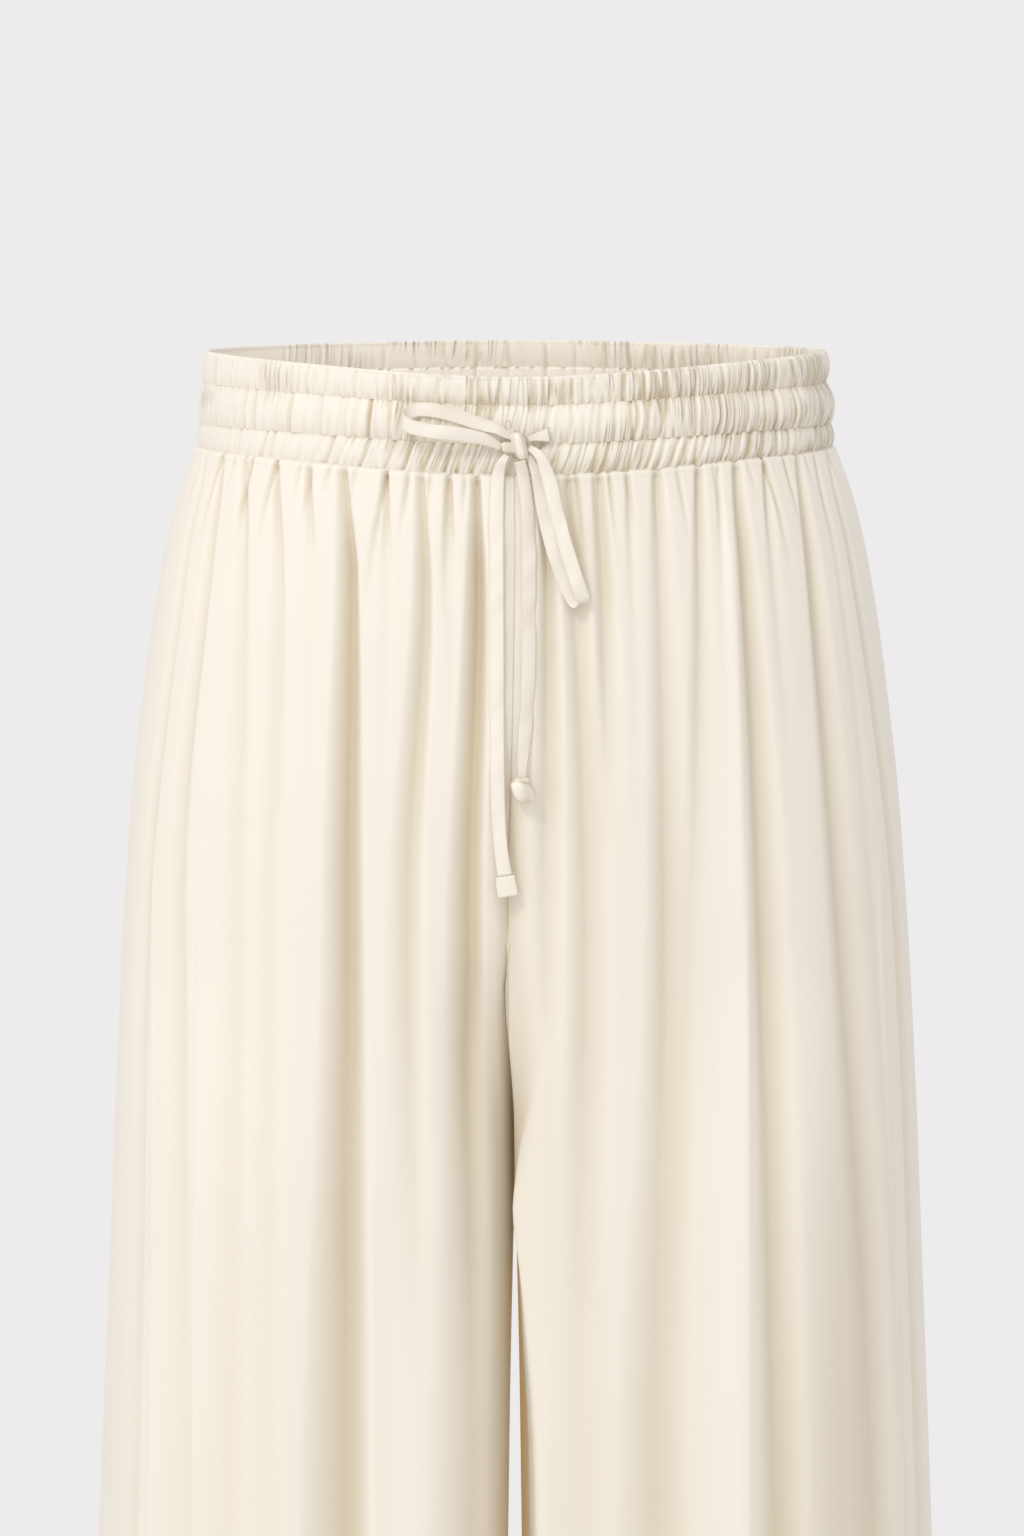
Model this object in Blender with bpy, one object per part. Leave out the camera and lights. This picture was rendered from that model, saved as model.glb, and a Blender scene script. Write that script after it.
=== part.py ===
"""Wide-leg satin trousers with a gathered three-row elastic waist and a tied drawstring.

Metres, +Z up. The front faces -Y and the wearer's left is at +X. The trousers keep the hollow
form that they have when worn. The origin is the middle of the waist opening, half way up the
waistband. Heights in the tables are measured down from the waist rim at the side seams.
"""

import math

import bmesh
import bpy
import numpy as np

# Driving sizes
BAND_HEIGHT = 0.045
CROTCH_CURVE_START = 0.26
RISE = 0.335
LEG_FORMED = 0.39
OUTSEAM = 1.045
CLOTH = 0.0015
SEAM_GAP = 0.0003
TAPE_THICKNESS = 0.0011

# Edges that turn by more than this many degrees look sharp
PANEL_SHARP = 50
BAND_SHARP = 12
TAPE_SHARP = 50

RIM_Z = BAND_HEIGHT / 2
CENTRE_X = SEAM_GAP / 2 + 0.00002
FRONT_DIP = 0.0090
BACK_DIP = -0.0015
DIP_ENDS = 0.20

# The waist is nearly an ellipse, and a leg is squarer on its inner side than on its outer side
WAIST_POWER = 2.15
LEG_OUTER_POWER = 2.2
LEG_INNER_POWER = 4.5
CORNER_SHARE = 0.80

# The worn outline: how far below the rim, half the whole width, depth to the front and to the
# back, how far each leg's inner edge hangs from the middle, and how square the trunk is
OUTLINE = {
    "columns": ("below_rim", "half_width", "front", "back", "inner", "trunk_power"),
    "rows": (
        (0.045, 0.1480, 0.1030, 0.1050, 0.0003, 2.15),
        (0.068, 0.1560, 0.1080, 0.1150, 0.0003, 2.20),
        (0.088, 0.1610, 0.1110, 0.1220, 0.0003, 2.25),
        (0.125, 0.1675, 0.1150, 0.1300, 0.0003, 2.40),
        (0.162, 0.1725, 0.1175, 0.1350, 0.0003, 2.50),
        (0.200, 0.1770, 0.1195, 0.1370, 0.0003, 2.62),
        (0.255, 0.1812, 0.1205, 0.1360, 0.0003, 2.75),
        (0.330, 0.1855, 0.1210, 0.1330, 0.0003, 2.75),
        (0.404, 0.1888, 0.1210, 0.1310, 0.0004, 2.75),
        (0.478, 0.1920, 0.1215, 0.1300, 0.0021, 2.75),
        (0.548, 0.1950, 0.1220, 0.1300, 0.0031, 2.75),
        (0.800, 0.2040, 0.1250, 0.1340, 0.0070, 2.75),
        (1.045, 0.2125, 0.1290, 0.1390, 0.0115, 2.75),
    ),
}

# A row for each fold: its distance from the middle at the seam, hip, thigh and knee, and how
# deep it is there, in millimetres. The reach is half the width of the trough at the hip.
FOLD_LEVELS = (0.055, 0.125, 0.255, 0.500, 1.045)
FOLD_SPREAD = (0.60, 1.00, 1.25, 1.50, 1.70)
HEM_FULLNESS = 1.5
FOLDS = {
    "columns": (
        "seam_x", "hip_x", "thigh_x", "knee_x",
        "seam_deep", "hip_deep", "thigh_deep", "knee_deep", "reach",
    ),
    "front_right": (
        (16, 19, 22, 19, 4.0, 7.0, 6.5, 3.0, 11),
        (30, 30, 34, 32, 3.5, 0.8, 0.0, 0.0, 7),
        (42, 42, 51, 46, 3.8, 4.6, 5.0, 1.5, 11),
        (59, 59, 63, 60, 3.5, 0.8, 0.0, 0.5, 8),
        (77, 76, 78, 77, 4.2, 6.2, 7.0, 7.0, 12),
        (94, 93, 96, 96, 3.2, 0.6, 0.0, 0.0, 8),
        (109, 108, 113, 115, 3.4, 2.2, 1.2, 0.8, 9),
        (124, 125, 129, 133, 3.2, 2.0, 2.2, 3.4, 11),
        (136, 141, 156, 155, 3.6, 3.4, 2.4, 2.2, 9),
        (146, 155, 171, 178, 3.0, 3.0, 2.4, 2.4, 8),
    ),
    "front_left": (
        (11, 13, 12, 10, 3.2, 4.8, 2.4, 0.0, 9),
        (23, 23, 30, 26, 3.8, 3.4, 3.6, 1.2, 9),
        (39, 38, 42, 40, 3.8, 4.6, 0.8, 0.0, 9),
        (50, 51, 54, 50, 3.4, 0.8, 0.0, 0.0, 7),
        (64, 64, 65, 58, 3.8, 3.2, 1.6, 1.8, 9),
        (82, 80, 76, 68, 4.0, 3.8, 4.0, 3.6, 11),
        (91, 92, 95, 95, 3.2, 0.6, 0.0, 0.0, 6),
        (102, 105, 109, 116, 4.2, 6.4, 7.0, 7.4, 12),
        (116, 119, 127, 138, 3.2, 1.0, 0.0, 0.0, 8),
        (131, 136, 148, 164, 3.8, 5.0, 5.4, 6.0, 11),
        (139, 147, 161, 175, 3.0, 0.8, 0.6, 0.8, 7),
        (146, 156, 172, 183, 3.0, 3.2, 2.6, 2.4, 8),
    ),
    "back": (
        (9, 10, 12, 12, 3.2, 3.0, 1.4, 0.0, 8),
        (24, 25, 29, 28, 3.8, 5.6, 5.0, 3.0, 11),
        (39, 40, 45, 44, 3.6, 1.6, 0.6, 0.6, 8),
        (54, 56, 62, 63, 4.0, 5.2, 6.4, 6.2, 12),
        (70, 72, 78, 80, 3.4, 1.4, 0.4, 0.4, 8),
        (86, 90, 97, 102, 4.0, 5.8, 6.8, 7.2, 12),
        (103, 108, 115, 121, 3.4, 1.6, 0.8, 0.6, 8),
        (120, 126, 136, 145, 3.8, 4.6, 5.0, 5.4, 11),
        (133, 142, 154, 163, 3.4, 2.0, 1.0, 1.0, 8),
        (145, 155, 171, 181, 3.0, 3.2, 3.0, 3.2, 9),
    ),
}
# The back folds of the wearer's right leg lie a little off those of the left
RIGHT_BACK_SHIFT = 0.004
# Where two folds are this far apart at the seam, a short gather lies between them
GATHER_BETWEEN = 0.0145
GATHER_DEEP = (0.0030, 0.0005, 0.0, 0.0, 0.0)
GATHER_REACH = 0.007
# The folds die out towards the side seam and the middle, and ridges stand out by a share of them
FLAT_AT_SIDE = 0.012
FLAT_AT_MIDDLE = 0.008
RIDGE_SHARE = 0.35
PRESSED_WITHIN = 0.020

PANEL_LEVELS = (
    0.045, 0.056, 0.070, 0.095, 0.130, 0.190, CROTCH_CURVE_START, 0.285, 0.310, RISE, 0.362,
    LEG_FORMED, 0.450, 0.560, 0.720, 0.890, OUTSEAM,
)
INNER_CELLS = 4
SIDE_COLUMN_SHARE = 0.25
SECTION_SAMPLES = 400

# Waistband: a row for each level round it, and how far the cloth puffs out or is stitched in
BAND_LEVELS = {
    "columns": ("below_rim", "puff", "pucker"),
    "rows": (
        (0.0000, 0.0002, 0.3),
        (0.0063, 0.0012, 1.0),
        (0.0126, -0.0008, 0.6),
        (0.0213, 0.0025, 1.0),
        (0.0300, -0.0006, 0.6),
        (0.0376, 0.0015, 1.0),
        (BAND_HEIGHT - SEAM_GAP, 0.0, 0.5),
    ),
}
BAND_RIM_HALF_WIDTH = 0.1440
BAND_RIM_DEPTH = 0.0995
BAND_SPREAD = 0.0032
BAND_INSIDE = 0.0028
PUCKERS = 104
PUCKER_DEPTH = 0.0018
PUCKER_JITTER = 0.22
PUCKER_SEED = 7
# From here down the front of a leg stands further forward than the band's lower edge
SEAM_HIDES_FROM = 0.036

# The drawstring is a flat tape. A row for each point of its way, in millimetres: across from the
# middle, below the front rim, out from the cloth behind it, and the width of the tape there.
TAPE_ROUTES = {
    "columns": ("across", "below_front_rim", "out", "width"),
    "run_left": (
        (-1.3, 26.4, 2.6, 2.6), (-2.0, 25.0, 1.9, 3.4), (-2.9, 23.4, 1.2, 4.4),
    ),
    "run_right": (
        (5.8, 27.2, 3.8, 2.4), (9.0, 26.6, 3.2, 3.6), (12.6, 25.9, 2.2, 5.4), (15.2, 25.6, 1.3, 6.6),
    ),
    "loop_left": (
        (-1.5, 26.6, 4.8, 2.6), (-4.2, 25.2, 4.7, 3.4), (-8.5, 22.6, 4.3, 4.8),
        (-15.6, 20.1, 3.6, 6.0), (-26.8, 16.1, 3.2, 6.5), (-37.0, 14.1, 3.2, 6.5),
        (-44.5, 14.5, 3.7, 6.5), (-49.0, 16.5, 5.2, 6.5), (-50.3, 19.1, 7.4, 6.5),
        (-47.6, 21.9, 9.0, 6.5), (-38.0, 24.7, 9.2, 6.5), (-24.6, 26.7, 8.6, 6.5),
        (-13.0, 28.9, 7.0, 5.4), (-6.3, 31.0, 4.8, 3.2),
    ),
    "loop_right": (
        (6.5, 31.1, 6.0, 2.6), (11.0, 34.9, 7.4, 4.6), (15.0, 44.5, 8.0, 6.3), (18.3, 58.5, 7.8, 6.5),
        (22.0, 72.5, 7.4, 6.5), (26.2, 86.0, 7.0, 6.5), (29.6, 96.0, 6.6, 6.5), (30.4, 99.7, 5.4, 6.5),
        (27.6, 100.5, 3.6, 6.5), (24.4, 96.1, 2.6, 6.5), (20.4, 86.5, 2.4, 6.5),
        (15.6, 71.5, 2.5, 6.5), (11.8, 54.5, 2.6, 6.0), (9.2, 42.1, 2.9, 4.6), (6.0, 35.0, 3.4, 2.4),
    ),
    "end_left": (
        (-3.8, 34.6, 3.8, 3.0), (-5.8, 37.6, 3.6, 4.2), (-7.6, 43.5, 3.0, 5.8), (-8.3, 55.5, 2.6, 6.5),
        (-8.4, 78.5, 2.6, 6.5), (-8.3, 108.5, 2.5, 6.5), (-8.2, 143.5, 2.5, 6.5),
        (-8.0, 178.5, 2.5, 6.5), (-7.2, 202.0, 2.5, 6.3), (-5.8, 215.5, 2.5, 6.3),
        (-4.7, 222.9, 2.5, 6.5),
    ),
    "end_tab": (
        (-4.6, 223.2, 2.5, 8.6), (-3.9, 227.9, 2.5, 9.2), (-3.1, 232.5, 2.5, 9.2),
    ),
    "end_middle": (
        (2.2, 37.2, 4.6, 5.0), (3.6, 44.0, 3.4, 5.8), (5.4, 55.5, 2.7, 6.4), (6.2, 73.5, 2.6, 6.5),
        (6.3, 98.5, 2.5, 6.5), (6.2, 123.5, 2.5, 6.5), (5.6, 145.5, 2.5, 6.4), (4.2, 163.0, 2.6, 6.0),
        (3.3, 173.0, 3.4, 4.4), (3.2, 178.9, 4.9, 3.2),
    ),
}
# Knots, in millimetres: the middle's place as for the tape, then half sizes
KNOTS = {
    "columns": ("across", "below_front_rim", "out", "half_width", "half_height", "half_depth"),
    "wrap": (2.3, 30.6, 4.9, 3.5, 6.2, 3.3),
    "lobe": (-2.6, 31.4, 4.1, 3.2, 2.6, 2.5),
    "at_end": (3.2, 184.6, 5.0, 4.3, 5.3, 3.6),
}
# A knot's section between an ellipse (1) and a box (0)
KNOT_ROUNDING = 0.75


def smooth_step(x):
    """0 below 0, 1 above 1, and eased between."""
    x = np.clip(x, 0.0, 1.0)
    return x * x * (3 - 2 * x)


def eased(levels, values, at):
    """A smooth curve through the values at the levels, without overshoot."""
    levels, values = np.asarray(levels, float), np.asarray(values, float)
    step = np.diff(levels)
    rise = np.diff(values) / step
    slope = np.zeros(len(values))
    same_way = rise[:-1] * rise[1:] > 0
    mean = 2 * rise[:-1] * rise[1:] / np.where(same_way, rise[:-1] + rise[1:], 1.0)
    slope[1:-1] = np.where(same_way, mean, 0.0)
    slope[0], slope[-1] = rise[0], rise[-1]
    at = np.clip(at, levels[0], levels[-1])
    i = np.clip(np.searchsorted(levels, at) - 1, 0, len(step) - 1)
    t = (at - levels[i]) / step[i]
    return (
        values[i] * (1 + 2 * t) * (1 - t) ** 2
        + values[i + 1] * t * t * (3 - 2 * t)
        + step[i] * (slope[i] * t * (1 - t) ** 2 - slope[i + 1] * t * t * (1 - t))
    )


def outline(name, below_rim):
    """One column of the outline table at a level."""
    rows = np.array(OUTLINE["rows"])
    return float(eased(rows[:, 0], rows[:, OUTLINE["columns"].index(name)], below_rim))


def power_arc(half_width, depth, power, angle):
    """Points of a squared-off ellipse: x across, y outwards to the front or the back."""
    c, s = np.cos(angle), np.sin(angle)
    x = half_width * np.sign(c) * np.abs(c) ** (2 / power)
    return np.stack([x, depth * np.abs(s) ** (2 / power)], axis=1)


def evenly(points, count):
    """The same line with its points a constant distance apart."""
    along = np.concatenate([[0], np.cumsum(np.linalg.norm(np.diff(points, axis=0), axis=1))])
    at = np.linspace(0, along[-1], count)
    return np.stack([np.interp(at, along, points[:, k]) for k in (0, 1)], axis=1)


def half_loop(below_rim, face):
    """The front or back half of a leg's section, from the side seam round to the inseam."""
    width, inner = outline("half_width", below_rim), outline("inner", below_rim)
    middle, half = (width + inner) / 2, (width - inner) / 2
    depth = outline(face, below_rim)
    outer = power_arc(half, depth, LEG_OUTER_POWER, np.linspace(0, math.pi / 2, 200))
    inside = power_arc(half, depth, LEG_INNER_POWER, np.linspace(math.pi / 2, math.pi, 200))[1:]
    loop = evenly(np.concatenate([outer, inside]), 2 * SECTION_SAMPLES)
    return loop + [middle, 0]


def formed(below_rim):
    """0 where the cloth still goes round the trunk, 1 where it goes round a leg."""
    return float(smooth_step((below_rim - CROTCH_CURVE_START) / (LEG_FORMED - CROTCH_CURVE_START)))


def visible_section(below_rim, face):
    """The section from the side seam to the middle or, on a leg, to the corner of its inner side."""
    width, depth = outline("half_width", below_rim), outline(face, below_rim)
    quarter = np.linspace(0, math.pi / 2, SECTION_SAMPLES)
    trunk = evenly(power_arc(width, depth, outline("trunk_power", below_rim), quarter), SECTION_SAMPLES)
    trunk[:, 0] = CENTRE_X + trunk[:, 0] * (width - CENTRE_X) / width
    loop = half_loop(below_rim, face)
    leg = evenly(loop[: int(CORNER_SHARE * len(loop))], SECTION_SAMPLES)
    share = formed(below_rim)
    return trunk * (1 - share) + leg * share


def normals_of(line):
    """Outward unit normals of a section line that runs from the side seam to the middle."""
    along = np.gradient(line, axis=0)
    normal = np.stack([along[:, 1], -along[:, 0]], axis=1)
    return normal / np.linalg.norm(normal, axis=1)[:, None]


def fold_table(side, face):
    """The panel's folds as arrays: places (fold, level), depths (fold, level) and reaches."""
    rows = FOLDS["back" if face == "back" else "front_left" if side > 0 else "front_right"]
    rows = np.array(rows) / 1000
    widen = outline("half_width", OUTSEAM) / outline("half_width", FOLD_LEVELS[3])
    places = np.concatenate([rows[:, :4], rows[:, 3:4] * widen], axis=1)
    deep = np.concatenate([rows[:, 4:8], rows[:, 7:8] * HEM_FULLNESS], axis=1)
    reach = rows[:, 8]
    if face == "back" and side < 0:
        places = places + RIGHT_BACK_SHIFT * np.sin(places * 40)
    for i in np.flatnonzero(np.diff(places[:, 0]) > GATHER_BETWEEN)[::-1]:
        places = np.insert(places, i + 1, (places[i] + places[i + 1]) / 2, axis=0)
        deep = np.insert(deep, i + 1, GATHER_DEEP, axis=0)
        reach = np.insert(reach, i + 1, GATHER_REACH)
    return places, deep, reach


def fold_lines(side, face, below_rim, last_x):
    """Where the panel's folds are at a level, how deep, and how far each reaches."""
    places, deep, reach = fold_table(side, face)
    x = np.array([eased(FOLD_LEVELS, p, below_rim) for p in places])
    depth = np.array([eased(FOLD_LEVELS, d, below_rim) for d in deep])
    reach = reach * eased(FOLD_LEVELS, FOLD_SPREAD, below_rim)
    # Near a leg's inner side the folds are pressed outwards, ahead of its corner
    return x + last_x * np.exp(-x / PRESSED_WITHIN), depth, reach


def folded(side, face, below_rim, x_wanted):
    """Outer points of a panel at a level, at these distances from the middle."""
    line = visible_section(below_rim, face)
    normal = normals_of(line)
    along = np.concatenate([[0], np.cumsum(np.linalg.norm(np.diff(line, axis=0), axis=1))])
    last_x = line[-1, 0]
    at = np.interp(-np.asarray(x_wanted), -line[:, 0], along)
    fold_x, depth, reach = fold_lines(side, face, below_rim, last_x)
    fold_at = np.interp(-fold_x, -line[:, 0], along)
    t = np.abs(at[:, None] - fold_at[None]) / reach[None]
    trough = (depth[None] * 0.5 * (1 + np.cos(math.pi * np.clip(t, 0, 1)))).sum(1)
    edge = smooth_step(at / FLAT_AT_SIDE) * smooth_step((along[-1] - at) / FLAT_AT_MIDDLE)
    offset = (RIDGE_SHARE * depth.mean() - trough) * edge
    place = np.stack([np.interp(at, along, line[:, k]) for k in (0, 1)], axis=1)
    out = np.stack([np.interp(at, along, normal[:, k]) for k in (0, 1)], axis=1)
    place = place + out * offset[:, None]
    place[:, 0] = np.maximum(place[:, 0], CENTRE_X)
    return place


def column_places(side, face, below_rim, last_x, width):
    """A column on each fold and one between each two, from the side seam to the middle."""
    valleys = fold_lines(side, face, below_rim, last_x)[0][::-1]
    stops = np.concatenate([[width], valleys, [last_x]])
    between = (stops[:-1] + stops[1:]) / 2
    # Next to the side seam the cloth runs front to back, so the first column lies near the edge
    between[0] = width - SIDE_COLUMN_SHARE * (width - valleys[0])
    places = np.zeros(2 * len(stops) - 1)
    places[0::2], places[1::2] = stops, between
    return places


def waist_dip(x, y, below_rim):
    """How far the waist hangs below its height at the side seams."""
    angle = np.arctan2(y, x)
    dip = FRONT_DIP * np.maximum(-np.sin(angle), 0) ** 2 + BACK_DIP * np.maximum(np.sin(angle), 0) ** 2
    return dip * (1 - smooth_step((below_rim - BAND_HEIGHT) / (DIP_ENDS - BAND_HEIGHT)))


def lifted(section, side, face, below_rim):
    """Section points as points in space, on their side of the garment."""
    sign = -1 if face == "front" else 1
    x, y = side * section[:, 0], sign * section[:, 1]
    return np.stack([x, y, RIM_Z - below_rim - waist_dip(x, y, below_rim)], axis=1)


def outer_rows(side, face):
    """The panel's outer points round the body, a row for each level."""
    rows = []
    for below_rim in PANEL_LEVELS:
        line = visible_section(below_rim, face)
        places = column_places(side, face, below_rim, line[-1, 0], line[0, 0])
        rows.append(lifted(folded(side, face, below_rim, places), side, face, below_rim))
    return np.array(rows)


def inner_rows(side, face, corner):
    """The panel's outer points on the inside of the leg, below the curved crotch seam.

    corner holds the last column of outer_rows, from the level where the crotch seam starts to curve.
    """
    sign = -1 if face == "front" else 1
    levels = PANEL_LEVELS[PANEL_LEVELS.index(CROTCH_CURVE_START):]
    last_patch = levels.index(LEG_FORMED)
    share = np.linspace(0, 1, INNER_CELLS + 1)
    turn = share * math.pi / 2
    depth = outline(face, CROTCH_CURVE_START)
    seam = np.stack(
        [
            np.full(len(share), side * CENTRE_X),
            sign * depth * np.cos(turn),
            RIM_Z - CROTCH_CURVE_START - (RISE - CROTCH_CURVE_START) * np.sin(turn),
        ],
        axis=1,
    )
    straight = []
    for k, below_rim in enumerate(levels):
        if k < last_patch:
            straight.append(None)
            continue
        loop = half_loop(below_rim, face)[int(CORNER_SHARE * 2 * SECTION_SAMPLES) - 1:]
        row = lifted(evenly(loop, INNER_CELLS + 1), side, face, below_rim)
        # The first point is where the visible cloth ends, and the shift fades out towards the inseam
        row += (corner[k] - row[0]) * ((1 - share) ** 2)[:, None]
        row[-1, 1] = 0.0
        straight.append(row)
    bottom = straight[last_patch]
    inseam_levels = RISE + (LEG_FORMED - RISE) * np.linspace(0, 1, last_patch + 1)
    inseam = np.array([[side * outline("inner", b), 0.0, RIM_Z - b] for b in inseam_levels])
    rows = []
    for k in range(last_patch + 1):
        r = (CROTCH_CURVE_START - levels[k]) / (CROTCH_CURVE_START - LEG_FORMED)
        w = share[:, None]
        corners = (
            (1 - r) * ((1 - w) * seam[0] + w * seam[-1]) + r * ((1 - w) * bottom[0] + w * bottom[-1])
        )
        patch = (1 - r) * seam + r * bottom + (1 - w) * corner[k] + w * inseam[k] - corners
        patch[:, 0] = side * np.maximum(side * patch[:, 0], CENTRE_X)
        rows.append(patch)
    return np.array(rows + straight[last_patch + 1:])


def flat_normals(line):
    """Horizontal unit normals of a line of points in space."""
    along = np.gradient(line, axis=0)
    normal = np.stack([along[:, 1], -along[:, 0], np.zeros(len(line))], axis=1)
    return normal / np.linalg.norm(normal[:, :2], axis=1)[:, None]


def new_object(name, points, faces, material, sharp_angle):
    mesh = bpy.data.meshes.new(name)
    mesh.from_pydata([tuple(p) for p in points], [], faces)
    mesh.materials.append(material)
    mesh.shade_smooth()
    mesh.set_sharp_from_angle(angle=math.radians(sharp_angle))
    made = bpy.data.objects.new(name, mesh)
    bpy.context.scene.collection.objects.link(made)
    return made


def walled(name, outer, inner, quads, material):
    """A cloth wall: an outer and an inner skin with the same quads, closed all round its edge."""
    count = len(outer)
    faces = [tuple(q) for q in quads] + [tuple(i + count for i in reversed(q)) for q in quads]
    edges = {}
    for q in quads:
        for a, b in zip(q, q[1:] + q[:1]):
            edges[(a, b)] = True
    for a, b in edges:
        if (b, a) not in edges:
            faces.append((b, a, a + count, b + count))
    return new_object(name, np.concatenate([outer, inner]), faces, material, PANEL_SHARP)


def leg_panel(name, side, face, material):
    """One cut panel: the cloth that shows, and the cloth on the inside of the leg."""
    sign = -1 if face == "front" else 1
    visible = outer_rows(side, face)
    start = PANEL_LEVELS.index(CROTCH_CURVE_START)
    hidden = inner_rows(side, face, visible[start:, -1])
    # Each level as one line, so that the normals turn smoothly at the corner
    outward = side * sign
    normal_rows = []
    for i in range(len(PANEL_LEVELS)):
        line = visible[i] if i < start else np.concatenate([visible[i], hidden[i - start][1:]])
        normal_rows.append(flat_normals(line) * outward)
    for i, normal in enumerate(normal_rows):
        normal[0] = (side, 0, 0)
        if i < start:
            normal[-1] = (0, sign, 0)
        else:
            normal[-1] = (-side, 0, 0)
    for m in range(len(visible[0]), len(visible[0]) + INNER_CELLS):
        normal_rows[start][m] = (-side, 0, 0)
    points, normals, index = [], [], []
    for i in range(len(PANEL_LEVELS)):
        line = visible[i] if i < start else np.concatenate([visible[i], hidden[i - start][1:]])
        index.append(list(range(len(points), len(points) + len(line))))
        points.extend(line)
        normals.extend(normal_rows[i])
    points, normals = np.array(points), np.array(normals)
    # Half the seam gap is left at the side seam and the inseam, and under the waistband
    for row in index:
        points[row[0], 1] = sign * SEAM_GAP / 2
    for row in index[start:]:
        points[row[-1], 1] = sign * SEAM_GAP / 2
    quads = []
    for i in range(len(index) - 1):
        upper, lower = index[i], index[i + 1]
        for j in range(min(len(upper), len(lower)) - 1):
            quad = [upper[j], lower[j], lower[j + 1], upper[j + 1]]
            quads.append(quad if outward > 0 else quad[::-1])
    return walled(name, points, points - CLOTH * normals, quads, material)


def band_ring(level, puff, angles):
    """A line round the waistband at a level."""
    grow = BAND_SPREAD * level / BAND_HEIGHT
    half, depth = BAND_RIM_HALF_WIDTH + grow, BAND_RIM_DEPTH + grow
    quarter = power_arc(1.0, 1.0, WAIST_POWER, np.abs(np.arcsin(np.sin(angles))))
    x = (half + puff) * quarter[:, 0] * np.sign(np.cos(angles))
    y = (depth + puff) * quarter[:, 1] * np.sign(np.sin(angles))
    return np.stack([x, y, RIM_Z - level - waist_dip(x, y, BAND_HEIGHT)], axis=1)


def waistband(material):
    """A casing of three rows of elastic, gathered into creases all round, plain inside."""
    chance = np.random.default_rng(PUCKER_SEED)
    spacing = 2 * math.pi / PUCKERS
    creases = spacing * (np.arange(PUCKERS) + PUCKER_JITTER * chance.uniform(-1, 1, PUCKERS))
    ridges = (creases + np.append(creases[1:], creases[0] + 2 * math.pi)) / 2
    angles = np.zeros(2 * PUCKERS)
    angles[0::2], angles[1::2] = creases, ridges
    depths = np.zeros(2 * PUCKERS)
    depths[0::2] = PUCKER_DEPTH * chance.uniform(0.6, 1.0, PUCKERS)
    rings = [band_ring(level, puff - pucker * depths, angles) for level, puff, pucker in BAND_LEVELS["rows"]]
    lowest = BAND_LEVELS["rows"][-1][0]
    inside = [band_ring(level, -BAND_INSIDE, angles) for level in (lowest, 0.0)]
    rows = rings + inside
    around = len(angles)
    quads = []
    for i in range(len(rows)):
        k = (i + 1) % len(rows)
        for j in range(around):
            n = (j + 1) % around
            quads.append((i * around + j, k * around + j, k * around + n, i * around + n))
    return new_object("waistband", np.concatenate(rows), quads, material, BAND_SHARP)


def front_cloth(x, below_front_rim):
    """How far forward the ridges of the front cloth stand at these places."""
    levels, puffs, _ = np.array(BAND_LEVELS["rows"]).T
    grow = BAND_SPREAD * np.minimum(below_front_rim / BAND_HEIGHT, 1) + eased(levels, puffs, below_front_rim)
    band_ratio = np.abs(x / (BAND_RIM_HALF_WIDTH + grow)) ** WAIST_POWER
    band = (BAND_RIM_DEPTH + grow) * (1 - band_ratio) ** (1 / WAIST_POWER)
    fade = smooth_step((below_front_rim - BAND_HEIGHT) / (DIP_ENDS - BAND_HEIGHT))
    level = np.maximum(below_front_rim + FRONT_DIP * fade, BAND_HEIGHT)
    half, depth, power = (
        np.array([outline(name, b) for b in level]) for name in ("half_width", "front", "trunk_power")
    )
    leg = depth * (1 - np.abs(x / half) ** power) ** (1 / power)
    return np.where(below_front_rim < BAND_HEIGHT, np.maximum(band, leg * (below_front_rim > SEAM_HIDES_FROM)), leg)


def smooth_route(rows, count):
    """Points evenly spaced along a smooth curve through the rows, with their widths."""
    rows = np.array(rows, float) / 1000
    y = -front_cloth(rows[:, 0], rows[:, 1]) - rows[:, 2]
    points = np.stack([rows[:, 0], y, RIM_Z - FRONT_DIP - rows[:, 1]], axis=1)
    steps = np.linalg.norm(np.diff(points, axis=0), axis=1)
    knots = np.concatenate([[0], np.cumsum(np.sqrt(steps))])
    full = np.concatenate([points, rows[:, 3:4]], axis=1)
    fine = np.linspace(0, knots[-1], 40 * len(rows))
    slopes = np.gradient(full, knots, axis=0)
    i = np.clip(np.searchsorted(knots, fine) - 1, 0, len(steps) - 1)
    span = (knots[i + 1] - knots[i])[:, None]
    t = ((fine - knots[i]) / span[:, 0])[:, None]
    curve = (
        full[i] * (1 + 2 * t) * (1 - t) ** 2
        + full[i + 1] * t * t * (3 - 2 * t)
        + span * (slopes[i] * t * (1 - t) ** 2 - slopes[i + 1] * t * t * (1 - t))
    )
    along = np.concatenate([[0], np.cumsum(np.linalg.norm(np.diff(curve[:, :3], axis=0), axis=1))])
    at = np.linspace(0, along[-1], count)
    return np.stack([np.interp(at, along, curve[:, k]) for k in range(4)], axis=1)


def tape(stretch, count, across, material):
    """A flat tape along its way, with its width kept towards one direction."""
    route = smooth_route(TAPE_ROUTES[stretch], count)
    tangent = np.gradient(route[:, :3], axis=0)
    tangent /= np.linalg.norm(tangent, axis=1)[:, None]
    wide = np.array(across, float) - (tangent @ np.array(across, float))[:, None] * tangent
    wide /= np.linalg.norm(wide, axis=1)[:, None]
    thick = np.cross(tangent, wide)
    points = []
    for centre, w, t in zip(route, wide, thick):
        for a, b in ((-1, -1), (1, -1), (1, 1), (-1, 1)):
            points.append(centre[:3] + w * a * centre[3] / 2 + t * b * TAPE_THICKNESS / 2)
    faces = [(3, 2, 1, 0), tuple(4 * (count - 1) + k for k in range(4))]
    for i in range(count - 1):
        for k in range(4):
            n = (k + 1) % 4
            faces.append((4 * i + k, 4 * i + n, 4 * i + 4 + n, 4 * i + 4 + k))
    return new_object("drawstring_" + stretch, points, faces, material, TAPE_SHARP)


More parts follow.
